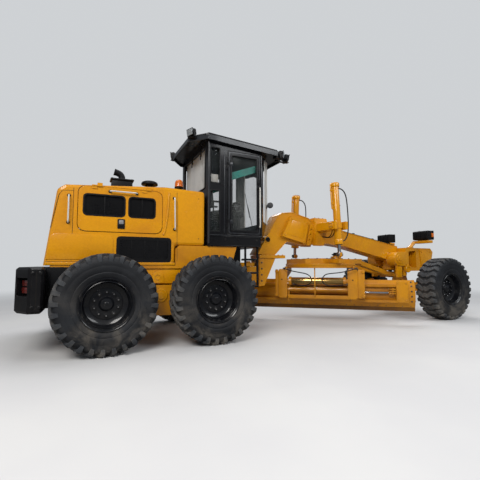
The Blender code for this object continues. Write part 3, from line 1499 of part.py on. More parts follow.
def steering_knuckle(side, sign):
    """Fork above and below the yoke's barrel, with the wheel's spindle outside it."""
    z, x = WHEEL_RADIUS, WHEELBASE
    reach = YOKE_HALF_LENGTH + 2 * RUNNING_GAP
    inner = KINGPIN_Y - YOKE_HALF_LENGTH
    hub_end = FRONT_WHEEL_Y + DISC_Z - DISC_THICKNESS - SEAT_GAP
    back = KINGPIN_Y + reach
    post = box(
        (x - YOKE_HALF_LENGTH, x + YOKE_HALF_LENGTH),
        (sign * back, sign * (back + PLATE)),
        (z - KNUCKLE_HALF_HEIGHT, z + KNUCKLE_HALF_HEIGHT),
    )
    gap_z = YOKE_HALF_HEIGHT + SEAT_GAP
    ears = [
        box(
            (x - YOKE_HALF_LENGTH, x + YOKE_HALF_LENGTH),
            (sign * inner, sign * (back + PLATE / 2)),
            (z + low, z + high),
        )
        for low, high in ((gap_z, KNUCKLE_HALF_HEIGHT), (-KNUCKLE_HALF_HEIGHT, -gap_z))
    ]
    spindle = drum("Y", (x, 0, z), SPINDLE_RADIUS, sign * back, sign * hub_end, 16)
    kingpin = (x, sign * KINGPIN_Y, z)
    return part(f"steering_knuckle_{side}", joined(post, *ears, spindle), YELLOW, pivot=kingpin)


# Drawbar, circle, blade carrier and blade
CIRCLE_THICKNESS = 0.09
CIRCLE_INNER_RADIUS = 0.58
CIRCLE_STEPS = 32
TOOTH_DEPTH = 0.03
TOOTH_TIP_SHARE = 0.6
DRAWBAR_THICKNESS = 0.10
REAR_HALF_SHARE = 0.64
BEAM_ROOT_SHARE = 0.51
CHEEK = 0.04
CHEEK_HALF = 0.06
DRAWBAR_HALF = 0.55
DRAWBAR_REAR_X = 3.05
DRAWBAR_FRONT_X = 4.60
DRAWBAR_BEAM_WIDTH = 0.13
DRAWBAR_HOLE = 0.36
NOSE_LENGTH = 0.12
LUG_HALF = 0.07


def drawbar():
    """Plate over the circle, with two beams that close on the fork at the front ball."""
    outline = mirrored_outline(
        [
            (DRAWBAR_REAR_X, DRAWBAR_HALF * REAR_HALF_SHARE),
            (CIRCLE_X - DRAWBAR_HALF * REAR_HALF_SHARE, DRAWBAR_HALF),
            (CIRCLE_X + DRAWBAR_HALF * REAR_HALF_SHARE, DRAWBAR_HALF),
            (DRAWBAR_FRONT_X, DRAWBAR_HALF * REAR_HALF_SHARE),
        ]
    )
    low = CIRCLE_BOTTOM_Z + CIRCLE_THICKNESS + SEAT_GAP
    high = low + DRAWBAR_THICKNESS
    table = plate("XY", outline, low, high)
    mid_z = (low + high) / 2
    nose_rear = BALL_X - BALL_RADIUS - PLATE - NOSE_LENGTH
    nose_front = BALL_X - BALL_RADIUS - PLATE
    cheek_inner = BALL_RADIUS + SEAT_GAP
    nose_half = cheek_inner + CHEEK
    pieces = [
        box((nose_rear, nose_front), (-nose_half, nose_half), (BALL_Z - CHEEK_HALF, BALL_Z + CHEEK_HALF))
    ]
    for side, sign in SIDES:
        pieces.append(
            beam(
                (DRAWBAR_FRONT_X - DRAWBAR_BEAM_WIDTH, sign * DRAWBAR_HALF * BEAM_ROOT_SHARE, mid_z),
                (nose_front - PLATE, sign * (nose_half - CHEEK), BALL_Z),
                DRAWBAR_BEAM_WIDTH,
                DRAWBAR_THICKNESS,
            )
        )
        pieces.append(
            box(
                (nose_front - PLATE, BALL_X + BALL_RADIUS / 2),
                (sign * cheek_inner, sign * nose_half),
                (BALL_Z - CHEEK_HALF + THIN_PLATE, BALL_Z + CHEEK_HALF - THIN_PLATE),
            )
        )
        pieces.append(
            box(
                (LIFT_X - LUG_HALF, LIFT_X + LUG_HALF),
                (sign * (DRAWBAR_HALF - PLATE), sign * (LIFT_EYE_Y + EYE_RADIUS)),
                (low + THIN_PLATE, high - THIN_PLATE),
            )
        )
    hole = drum("Z", (CIRCLE_X, 0, 0), DRAWBAR_HOLE, low - OVERRUN, high + OVERRUN, 20)
    return part("drawbar", cut(joined(table, *pieces), hole), YELLOW, pivot=BALL_SPOT)


def drawbar_ball():
    """Block that the fork holds at its sides, with the upright pin that it swings on."""
    block = drum("Y", (BALL_X, 0, BALL_Z), BALL_RADIUS, -BALL_RADIUS, BALL_RADIUS, 16)
    pin = drum("Z", (BALL_X, 0, 0), SWING_PIN_RADIUS, BALL_Z, SOCKET_BOTTOM_Z - SEAT_GAP, 12)
    return part("drawbar_ball", joined(block, pin), GREY, pivot=BALL_SPOT)


LEG_X = 0.66
LEG_THICKNESS = 0.05
LEG_FRONT_Y = 0.30
LEG_BACK_Y = -0.62
LEG_INNER_Y = -0.50
LEG_LOW_Z = 0.50
LEG_STEP_Z = 0.93
LEG_BACKPLATE = 0.20
PITCH_Y = -0.55
PITCH_Z = 0.69
PITCH_SHAFT_RADIUS = 0.045
TIE_TUBE_Z = 0.81
TIE_TUBE_RADIUS = 0.022
BLADE_RADIUS = 0.50
BLADE_THICKNESS = 0.022
BLADE_BACK_Y = -0.395
EDGE_HEIGHT = 0.15
EDGE_THICKNESS = 0.016
RAIL_HALF = 0.025
RAIL_LENGTH_SHARE = 0.9
RAIL_Y = -0.43
LOWER_RAIL_Z = 0.47
UPPER_RAIL_Z = 0.78
CARRIER_X = 0.60
CARRIER_THICKNESS = 0.04
CHANNEL_HEIGHT = 0.09
SHIFT_Y = -0.45
SHIFT_Z = 0.64
SHIFT_ROD_RADIUS = 0.022
SHIFT_BARREL_RADIUS = 0.045
LUG_X = 1.36
END_PLATE = 0.025


def tooth_corner(corner, middle):
    """Where a corner of the ring's inner wall goes as its face rises into a tooth."""
    angle = polar(corner)[0]
    centre_angle = polar(middle)[0]
    turn = centre_angle + math.remainder(angle - centre_angle, 2 * math.pi) * TOOTH_TIP_SHARE
    radius = CIRCLE_INNER_RADIUS - TOOTH_DEPTH
    return Vector((radius * math.cos(turn), radius * math.sin(turn), corner.z))


def toothed_ring():
    """Ring with its drive teeth round the inside."""
    outer = CIRCLE_DIAMETER / 2
    top = CIRCLE_BOTTOM_Z + CIRCLE_THICKNESS
    section = [
        (CIRCLE_INNER_RADIUS, top),
        (outer, top),
        (outer, CIRCLE_BOTTOM_Z),
        (CIRCLE_INNER_RADIUS, CIRCLE_BOTTOM_Z)
    ]
    bm = spun(section, CIRCLE_STEPS)
    teeth = []
    for face in bm.faces:
        middle = face.calc_center_median()
        angle, radius = polar(middle)
        row = math.floor(angle / (2 * math.pi / CIRCLE_STEPS)) % 2
        if radius < CIRCLE_INNER_RADIUS + THIN_PLATE and row == 0:
            teeth.append(face)
    raise_faces(bm, teeth, tooth_corner)
    return helper_from_bmesh("ring", bm)


def circle(parent):
    """Toothed ring with the two legs that hang from it. Local X runs along the blade."""
    pieces = []
    for side, sign in SIDES:
        outline = [
            (LEG_FRONT_Y, CIRCLE_BOTTOM_Z + PLATE),
            (LEG_BACK_Y, CIRCLE_BOTTOM_Z + PLATE),
            (LEG_BACK_Y, LEG_LOW_Z),
            (LEG_INNER_Y, LEG_LOW_Z),
            (LEG_INNER_Y, LEG_STEP_Z),
            (LEG_FRONT_Y, CIRCLE_BOTTOM_Z - 3 * PLATE),
        ]
        outside = sign * (LEG_X + LEG_THICKNESS)
        pieces.append(plate("YZ", outline, sign * LEG_X, outside))
        pieces.append(
            box(
                (sign * (LEG_X + LEG_THICKNESS / 2), sign * (LEG_X + LEG_BACKPLATE)),
                (LEG_BACK_Y - PLATE / 2, LEG_BACK_Y + PLATE / 2),
                (LEG_LOW_Z + PLATE, CIRCLE_BOTTOM_Z - 2 * PLATE),
            )
        )
    tie_end = LEG_X + LEG_THICKNESS / 2
    pieces.append(drum("X", (0, LEG_BACK_Y, TIE_TUBE_Z), TIE_TUBE_RADIUS, -tie_end, tie_end, 12))
    return part("circle", joined(toothed_ring(), *pieces), YELLOW, parent)


def blade_carrier(parent):
    """Frame that pitches between the legs on its shaft, with the side-shift cylinder across its plates."""
    inner = LEG_X - SEAT_GAP
    plate_inner = LEG_X - RUNNING_GAP - CARRIER_THICKNESS
    front = RAIL_Y - RAIL_HALF - RUNNING_GAP
    shaft = drum("X", (0, PITCH_Y, PITCH_Z), PITCH_SHAFT_RADIUS, -inner, inner, 12)
    reach = plate_inner + THIN_PLATE
    pieces = [drum("X", (0, SHIFT_Y, SHIFT_Z), SHIFT_BARREL_RADIUS, -reach, reach, 12)]
    for sign in (-1, 1):
        pieces.append(
            box(
                (sign * plate_inner, sign * (plate_inner + CARRIER_THICKNESS)),
                (LEG_BACK_Y + 2 * PLATE, front),
                (LOWER_RAIL_Z - RAIL_HALF, UPPER_RAIL_Z + RAIL_HALF),
            )
        )
    channel = box(
        (-reach, reach),
        (LEG_BACK_Y + 3 * PLATE, front - THIN_PLATE),
        (LOWER_RAIL_Z + THIN_PLATE, LOWER_RAIL_Z + CHANNEL_HEIGHT),
    )
    bore = drum(
        "X", (0, SHIFT_Y, SHIFT_Z), SHIFT_ROD_RADIUS + 2 * SEAT_GAP, -CARRIER_X, inner + OVERRUN, 12
    )
    pitch_spot = (0, PITCH_Y, PITCH_Z)
    return part("blade_carrier", cut(joined(shaft, *pieces, channel), bore), YELLOW, parent, pitch_spot)


def blade_section():
    """Curved moldboard section: its back from the top down, then its front from the bottom up."""
    low, high = BLADE_EDGE_Z + EDGE_HEIGHT / 2, BLADE_EDGE_Z + BLADE_HEIGHT
    mid = (low + high) / 2
    half_angle = math.degrees(math.asin((high - low) / 2 / BLADE_RADIUS))
    centre = (BLADE_BACK_Y + BLADE_RADIUS, mid)
    back = arc(centre, BLADE_RADIUS, 180 - half_angle, 180 + half_angle, 9)
    front = arc(centre, BLADE_RADIUS - BLADE_THICKNESS, 180 + half_angle, 180 - half_angle, 9)
    return back, front


def blade(parent):
    half = BLADE_LENGTH / 2
    rod_end = -CARRIER_X / 3
    back, front = blade_section()
    board = plate("YZ", back + front, -half, half)
    top_z = back[0][1]
    foot_y, foot_z = back[-1]
    edge = box(
        (-half, half),
        (foot_y, foot_y + EDGE_THICKNESS + BLADE_THICKNESS / 2),
        (BLADE_EDGE_Z, BLADE_EDGE_Z + EDGE_HEIGHT),
    )
    pieces = [edge]
    for z in (LOWER_RAIL_Z, UPPER_RAIL_Z):
        rail = half * RAIL_LENGTH_SHARE
        pieces.append(
            box(
                (-rail, rail),
                (RAIL_Y - RAIL_HALF, BLADE_BACK_Y + BLADE_THICKNESS + RAIL_HALF),
                (z - RAIL_HALF, z + RAIL_HALF),
            )
        )
    for sign in (-1, 1):
        lip = foot_y + 3 * PLATE
        outline = back + [(lip, foot_z - EDGE_HEIGHT / 2), (lip, top_z)]
        pieces.append(plate("YZ", outline, sign * half, sign * (half - END_PLATE)))
    lug = box(
        (LUG_X - PLATE, LUG_X + PLATE),
        (SHIFT_Y - SHIFT_BARREL_RADIUS, BLADE_BACK_Y + BLADE_THICKNESS),
        (SHIFT_Z - SHIFT_BARREL_RADIUS, SHIFT_Z + SHIFT_BARREL_RADIUS),
    )
    rod = drum("X", (0, SHIFT_Y, SHIFT_Z), SHIFT_ROD_RADIUS, rod_end, LUG_X, 12)
    return part("blade", joined(board, *pieces, lug, rod), YELLOW, parent, (0, SHIFT_Y, SHIFT_Z))


def build():
    rear_frame()
    counterweight()
    rear_axle()
    for side, sign in SIDES:
        tandem_case(side, sign)
        for place, x in (("rear", -TANDEM_SPACING / 2), ("middle", TANDEM_SPACING / 2)):
            wheel(place, side, sign, x, REAR_WHEEL_Y)
        wheel("front", side, sign, WHEELBASE, FRONT_WHEEL_Y)
        hood_door(side, sign)
        side_screen(side, sign)
        cab_door(side, sign)
        lift_cylinder(side, sign)
        headlamp(side, sign)
        lean_yoke(side, sign)
        steering_knuckle(side, sign)
    hood()
    rear_grille()
    engine()
    exhaust()
    air_cleaner()
    beacon()
    cab_base()
    cab_frame()
    windscreen()
    cab_windows()
    cab_roof()
    seat()
    console()
    front_frame()
    lift_saddle()
    front_axle()
    drawbar()
    drawbar_ball()
    circle_axis = empty("circle_axis", (CIRCLE_X, 0, 0), ROW_ORIGIN, BLADE_YAW)
    circle(circle_axis)
    blade_carrier(circle_axis)
    blade(circle_axis)


build()
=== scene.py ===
import math
from itertools import product

import bmesh
import bpy
from mathutils import Matrix, Vector


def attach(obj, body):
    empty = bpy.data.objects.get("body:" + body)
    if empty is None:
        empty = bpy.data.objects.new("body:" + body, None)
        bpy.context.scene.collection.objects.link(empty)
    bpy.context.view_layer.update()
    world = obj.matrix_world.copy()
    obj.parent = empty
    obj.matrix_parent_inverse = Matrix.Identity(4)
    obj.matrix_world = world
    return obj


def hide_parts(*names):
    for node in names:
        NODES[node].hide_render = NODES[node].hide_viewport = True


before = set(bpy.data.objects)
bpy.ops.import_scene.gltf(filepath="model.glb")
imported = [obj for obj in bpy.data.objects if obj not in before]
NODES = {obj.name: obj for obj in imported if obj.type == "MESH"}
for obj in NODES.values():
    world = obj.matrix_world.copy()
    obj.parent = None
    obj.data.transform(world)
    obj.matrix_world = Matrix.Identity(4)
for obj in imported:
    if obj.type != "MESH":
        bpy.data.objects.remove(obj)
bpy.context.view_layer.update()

MIDDLE_X = 2.545
SIDES = (("right", -1), ("left", 1))
TO_WORLD = Matrix.Translation((-MIDDLE_X, 0, 0))
WHEEL_RADIUS = 0.675
TANDEM_HALF = 0.78
WHEELBASE = 6.23
REAR_WHEEL_Y = 1.09
FRONT_WHEEL_Y = 1.138
HALF_HOOD = 0.78
DOOR_SKIN = 0.792
CIRCLE_X = 3.70
BLADE_YAW = math.radians(-40)
TO_CIRCLE = TO_WORLD @ Matrix.Translation((CIRCLE_X, 0, 0)) @ Matrix.Rotation(BLADE_YAW, 4, "Z")


# Node kit: short names for the shader nodes that the finishes share
class Tree:
    def __init__(self, tree):
        self.tree = tree

    def add(self, kind, **settings):
        node = self.tree.nodes.new("ShaderNode" + kind)
        for name, value in settings.items():
            setattr(node, name, value)
        return node

    def put(self, value, socket):
        if isinstance(value, bpy.types.NodeSocket):
            self.tree.links.new(value, socket)
        else:
            socket.default_value = value

    def maths(self, operation, first, second=0.0, clamp=False):
        node = self.add("Math", operation=operation, use_clamp=clamp)
        self.put(first, node.inputs[0])
        self.put(second, node.inputs[1])
        return node.outputs[0]

    def mixed(self, factor, first, second, blend="MIX"):
        node = self.add("Mix", data_type="RGBA", blend_type=blend)
        self.put(factor, node.inputs[0])
        self.put(first, node.inputs[6])
        self.put(second, node.inputs[7])
        return node.outputs[2]

    def ranged(self, value, low, high, to_low=0.0, to_high=1.0):
        node = self.add("MapRange", clamp=True, interpolation_type="SMOOTHSTEP")
        for given, index in ((value, 0), (low, 1), (high, 2), (to_low, 3), (to_high, 4)):
            self.put(given, node.inputs[index])
        return node.outputs[0]

    def place(self):
        return self.add("TexCoord").outputs["Object"]

    def noise(self, vector, scale, detail=4.0, roughness=0.55, distortion=0.0):
        node = self.add("TexNoise")
        self.put(vector, node.inputs["Vector"])
        for given, name in (
            (scale, "Scale"), (detail, "Detail"), (roughness, "Roughness"), (distortion, "Distortion")
        ):
            self.put(given, node.inputs[name])
        return node.outputs["Fac"]


def group(name, ins, outs):
    tree = bpy.data.node_groups.new(name, "ShaderNodeTree")
    for label, kind, value in ins:
        socket = tree.interface.new_socket(label, in_out="INPUT", socket_type="NodeSocket" + kind)
        socket.default_value = value
    for label, kind in outs:
        tree.interface.new_socket(label, in_out="OUTPUT", socket_type="NodeSocket" + kind)
    kit = Tree(tree)
    given = tree.nodes.new("NodeGroupInput").outputs
    wanted = tree.nodes.new("NodeGroupOutput").inputs
    return kit, given, wanted


def patchy_group():
    kit, given, wanted = group("patchy", [("Scale", "Float", 2.0)], [("Broad", "Float"), ("Fine", "Float")])
    place = kit.place()
    kit.put(kit.noise(place, given["Scale"], 5.0, 0.6, 0.4), wanted["Broad"])
    kit.put(kit.noise(place, kit.maths("MULTIPLY", given["Scale"], 22.0), 3.0), wanted["Fine"])
    return kit.tree


def edge_group():
    kit, given, wanted = group(
        "edge_wear", [("Reach", "Float", 0.01), ("Scale", "Float", 9.0)], [("Wear", "Float")]
    )
    rounded = kit.add("Bevel", samples=4)
    kit.put(given["Reach"], rounded.inputs["Radius"])
    normal = kit.add("NewGeometry").outputs["Normal"]
    dot = kit.add("VectorMath", operation="DOT_PRODUCT")
    kit.put(rounded.outputs[0], dot.inputs[0])
    kit.put(normal, dot.inputs[1])
    edge = kit.ranged(dot.outputs["Value"], 0.995, 0.90)
    broken = kit.ranged(kit.noise(kit.place(), given["Scale"], 6.0, 0.7), 0.50, 0.66)
    kit.put(kit.maths("MULTIPLY", edge, broken), wanted["Wear"])
    return kit.tree


def dust_group():
    sockets = [("Low", "Float", 0.2), ("High", "Float", 1.3), ("Top", "Float", 0.3)]
    kit, given, wanted = group("road_dust", sockets, [("Dust", "Float")])
    place = kit.place()
    height = kit.add("SeparateXYZ")
    kit.put(place, height.inputs[0])
    facing = kit.add("SeparateXYZ")
    kit.put(kit.add("NewGeometry").outputs["Normal"], facing.inputs[0])
    below = kit.ranged(height.outputs["Z"], given["High"], given["Low"])
    above = kit.maths("MULTIPLY", kit.ranged(facing.outputs["Z"], 0.4, 1.0), given["Top"])
    total = kit.maths("MAXIMUM", below, above)
    broken = kit.ranged(kit.noise(place, 3.2, 7.0, 0.68, 0.6), 0.38, 0.70)
    kit.put(kit.maths("MULTIPLY", total, broken, True), wanted["Dust"])
    return kit.tree


PATCHY, EDGES, DUSTED = patchy_group(), edge_group(), dust_group()
ROUGH_DRIFT = 0.12
SOOT = (0.12, 0.10, 0.08)


def finish(
    name, colour, roughness, tint=None, metallic=0.0, coat=0.0, drift=0.25, scale=1.6, wear=0.0,
    wear_colour=(0.10, 0.08, 0.06), dust=0.0, dust_colour=(0.36, 0.29, 0.21), low=0.1, high=1.1, top=0.3,
    bump=0.15, bump_scale=60.0, bump_depth=0.0006, specular=0.5
):
    """One finish: a base colour that drifts to a tint, worn edges, road dust and a fine relief."""
    made = bpy.data.materials.new(name)
    made.use_nodes = True
    kit = Tree(made.node_tree)
    shader = made.node_tree.nodes["Principled BSDF"]
    patchy = kit.add("Group", node_tree=PATCHY)
    patchy.inputs["Scale"].default_value = scale
    tint = tint or tuple(channel * (1 - drift) for channel in colour)
    shade = kit.mixed(kit.ranged(patchy.outputs["Broad"], 0.35, 0.70), (*colour, 1), (*tint, 1))
    speckle = kit.ranged(patchy.outputs["Fine"], 0.30, 0.75, 1 - drift / 3, 1.0)
    grey = kit.add("CombineColor")
    for index in range(3):
        kit.put(speckle, grey.inputs[index])
    shade = kit.mixed(1.0, shade, grey.outputs[0], "MULTIPLY")
    rough = kit.ranged(patchy.outputs["Broad"], 0.3, 0.75, roughness, min(roughness + ROUGH_DRIFT, 1.0))
    if wear:
        edges = kit.add("Group", node_tree=EDGES)
        mask = kit.maths("MULTIPLY", edges.outputs[0], wear, True)
        shade = kit.mixed(mask, shade, (*wear_colour, 1))
        rough = kit.maths("ADD", rough, kit.maths("MULTIPLY", mask, 0.2), True)
    if dust:
        dusty = kit.add("Group", node_tree=DUSTED)
        for label, value in (("Low", low), ("High", high), ("Top", top)):
            dusty.inputs[label].default_value = value
        mask = kit.maths("MULTIPLY", dusty.outputs[0], dust, True)
        shade = kit.mixed(mask, shade, (*dust_colour, 1))
        rough = kit.maths("ADD", rough, kit.maths("MULTIPLY", mask, 0.55), True)
        if coat:
            kit.put(kit.ranged(mask, 0.0, 0.6, coat, 0.0), shader.inputs["Coat Weight"])
    elif coat:
        shader.inputs["Coat Weight"].default_value = coat
    kit.put(shade, shader.inputs["Base Color"])
    kit.put(rough, shader.inputs["Roughness"])
    shader.inputs["Metallic"].default_value = metallic
    shader.inputs["Specular IOR Level"].default_value = specular
    shader.inputs["Coat Roughness"].default_value = 0.08
    relief = kit.add("Bump")
    relief.inputs["Strength"].default_value = bump
    relief.inputs["Distance"].default_value = bump_depth
    kit.put(kit.noise(kit.place(), bump_scale, 3.0), relief.inputs["Height"])
    kit.put(relief.outputs[0], shader.inputs["Normal"])
    return made


def glass_finish(name, colour, alpha):
    made = bpy.data.materials.new(name)
    made.use_nodes = True
    kit = Tree(made.node_tree)
    shader = made.node_tree.nodes["Principled BSDF"]
    patchy = kit.add("Group", node_tree=PATCHY)
    patchy.inputs["Scale"].default_value = 1.2
    streak = kit.ranged(patchy.outputs["Broad"], 0.45, 0.75)
    kit.put(kit.mixed(streak, (*colour, 1), (0.20, 0.21, 0.20, 1)), shader.inputs["Base Color"])
    kit.put(kit.ranged(patchy.outputs["Broad"], 0.45, 0.8, 0.03, 0.22), shader.inputs["Roughness"])
    kit.put(kit.ranged(patchy.outputs["Broad"], 0.4, 0.8, alpha, alpha + 0.05), shader.inputs["Alpha"])
    shader.inputs["Coat Weight"].default_value = 0.6
    return made


YELLOW = finish(
    "yellow_enamel", (0.66, 0.285, 0.003), 0.22, tint=(0.57, 0.225, 0.003), coat=0.35,
    wear=0.8, wear_colour=(0.16, 0.10, 0.05), dust=0.14, dust_colour=(0.26, 0.16, 0.05), low=0.2, high=1.0,
    top=0.25, bump=0.10, specular=0.32
)
WORK_YELLOW = finish(
    "work_yellow", (0.60, 0.25, 0.004), 0.30, tint=(0.46, 0.175, 0.004), coat=0.3,
    specular=0.32, wear=1.0, wear_colour=(0.13, 0.09, 0.06), dust=0.34, dust_colour=(0.15, 0.09, 0.035),
    low=0.1, high=1.0, top=0.35, bump=0.16
)
BLACK = finish(
    "black_enamel", (0.0045, 0.0045, 0.0055), 0.24, tint=(0.007, 0.007, 0.008), coat=0.25,
    specular=0.16, wear=0.8, wear_colour=(0.09, 0.085, 0.08), dust=0.05, dust_colour=SOOT, low=0.3, high=1.3,
    top=0.3, bump=0.12
)
TRIM_BLACK = finish(
    "moulded_black", (0.006, 0.006, 0.007), 0.42, specular=0.18, dust=0.05, dust_colour=SOOT,
    low=0.4, high=1.4, top=0.3, bump=0.3, bump_scale=220.0
)
RIM_BLACK = finish(
    "rim_enamel", (0.0035, 0.004, 0.006), 0.26, tint=(0.007, 0.008, 0.010), coat=0.45,
    specular=0.2, wear=0.6, wear_colour=(0.10, 0.09, 0.08), dust=0.06, dust_colour=(0.16, 0.14, 0.115),
    low=0.0, high=1.1, top=0.2, bump=0.2
)
IRON = finish(
    "bare_iron", (0.10, 0.095, 0.09), 0.48, tint=(0.13, 0.085, 0.055), metallic=0.75, wear=0.6,
    wear_colour=(0.35, 0.34, 0.33), dust=0.4, low=0.2, high=1.5, bump=0.4
)
STEEL = finish(
    "polished_steel", (0.52, 0.52, 0.53), 0.24, metallic=1.0, drift=0.15, dust=0.25, low=0.2,
    high=1.2, bump=0.2, bump_scale=140.0
)
CHROME = finish(
    "rod_chrome", (0.70, 0.70, 0.72), 0.10, metallic=1.0, drift=0.1, bump=0.05, bump_scale=200.0
)
# Carcass rubber, drawn darker than the tread: painted shade in the gaps between the lugs.
RUBBER = finish(
    "tyre_rubber", (0.007, 0.008, 0.0105), 0.56, tint=(0.015, 0.017, 0.021), drift=0.4,
    scale=2.4, specular=0.3, wear=0.5, wear_colour=(0.085, 0.08, 0.075), dust=0.34,
    dust_colour=(0.26, 0.225, 0.18), low=0.0, high=1.10, top=0.45, bump=0.55, bump_scale=90.0,
    bump_depth=0.001
)
# Tread lug rubber, paler than the carcass: partly dusty, worn rubber and partly painted light on the lug
# tops.
TREAD = finish(
    "tread_rubber_painted_light", (0.020, 0.023, 0.028), 0.58, tint=(0.040, 0.044, 0.050), drift=0.5,
    scale=3.0, specular=0.4, wear=0.8, wear_colour=(0.12, 0.115, 0.105), dust=0.5,
    dust_colour=(0.24, 0.21, 0.17), low=0.0, high=1.3, top=0.5, bump=0.55, bump_scale=70.0, bump_depth=0.001
)
HOSE = finish(
    "hose_rubber", (0.006, 0.006, 0.007), 0.40, specular=0.3, dust=0.25, dust_colour=SOOT,
    low=0.3, high=1.6, bump=0.3, bump_scale=300.0
)
VINYL = finish(
    "seat_vinyl", (0.016, 0.016, 0.018), 0.46, tint=(0.026, 0.025, 0.026), bump=0.5,
    bump_scale=160.0
)
PALE = finish(
    "pale_rail", (0.60, 0.61, 0.57), 0.32, tint=(0.52, 0.50, 0.46), wear=0.5, dust=0.25, low=0.8,
    high=2.4, bump=0.2
)
PLATE_GREY = finish(
    "zinc_plate", (0.30, 0.30, 0.31), 0.38, metallic=0.5, wear=0.5, dust=0.3, low=0.5, high=2.0,
    bump=0.3
)
SEAM = finish("seam_shadow", (0.012, 0.008, 0.004), 0.8, bump=0.1)
# Dark grey a little lighter than the black paint: painted sheen and highlights on the black cab edges, door
# frames, roof fascia and mirror glass, with a little real wear and dust.
PAINTED_SHEEN = finish(
    "painted_sheen_grey", (0.020, 0.022, 0.026), 0.32, tint=(0.013, 0.014, 0.017), coat=0.3,
    specular=0.3, wear=0.5, wear_colour=(0.12, 0.12, 0.12), dust=0.08, low=0.5, high=2.0, bump=0.1
)
# Dark worn brown for the cutting edge: partly real wear on its edges and partly painted shade along the
# blade's lower edge, where no light comes up from the ground.
EDGE_BROWN = finish(
    "worn_edge_painted_shade", (0.17, 0.070, 0.006), 0.38, tint=(0.11, 0.045, 0.008), specular=0.3,
    drift=0.4, wear=1.0, wear_colour=(0.16, 0.13, 0.11), dust=0.3, dust_colour=(0.13, 0.09, 0.05), low=0.0,
    high=0.6, bump=0.25
)
# Metal with an amber colour for the polished slide: the amber is a painted reflection of the yellow paint
# around the chrome.
SLIDE_REFLECTION = finish(
    "slide_painted_reflection", (0.66, 0.43, 0.16), 0.14, metallic=0.92, tint=(0.52, 0.30, 0.08),
    drift=0.25, scale=3.0, bump=0.1, bump_scale=120.0
)
AMBER = finish(
    "amber_lens", (0.70, 0.16, 0.01), 0.14, coat=0.6, drift=0.2, scale=6.0, bump=0.4,
    bump_scale=40.0
)
RED = finish(
    "red_lens", (0.10, 0.010, 0.007), 0.20, coat=0.5, drift=0.3, scale=6.0, bump=0.4,
    bump_scale=40.0
)
LAMP = finish(
    "lamp_glass", (0.30, 0.32, 0.33), 0.10, metallic=0.4, coat=0.8, drift=0.15, scale=8.0,
    bump=0.5, bump_scale=70.0
)
TEAL = finish("sun_strip", (0.006, 0.22, 0.17), 0.25, coat=0.5, drift=0.4, scale=5.0, bump=0.1)
CARD = finish("pale_card", (0.62, 0.60, 0.55), 0.55, drift=0.15, scale=6.0, bump=0.2)
GLASS = glass_finish("cab_glass", (0.05, 0.065, 0.07), 0.10)
# The rear window's glass is a pale, nearly opaque grey: a painted reflection that makes the glass look lit in
# the shade under the roof.
REAR_GLASS = glass_finish("rear_glass_painted_reflection", (0.80, 0.84, 0.84), 0.86)


# Shape kit: one Shape gathers closed solids into a piece that rides on one body
MADE = []
SHARP = 0.5


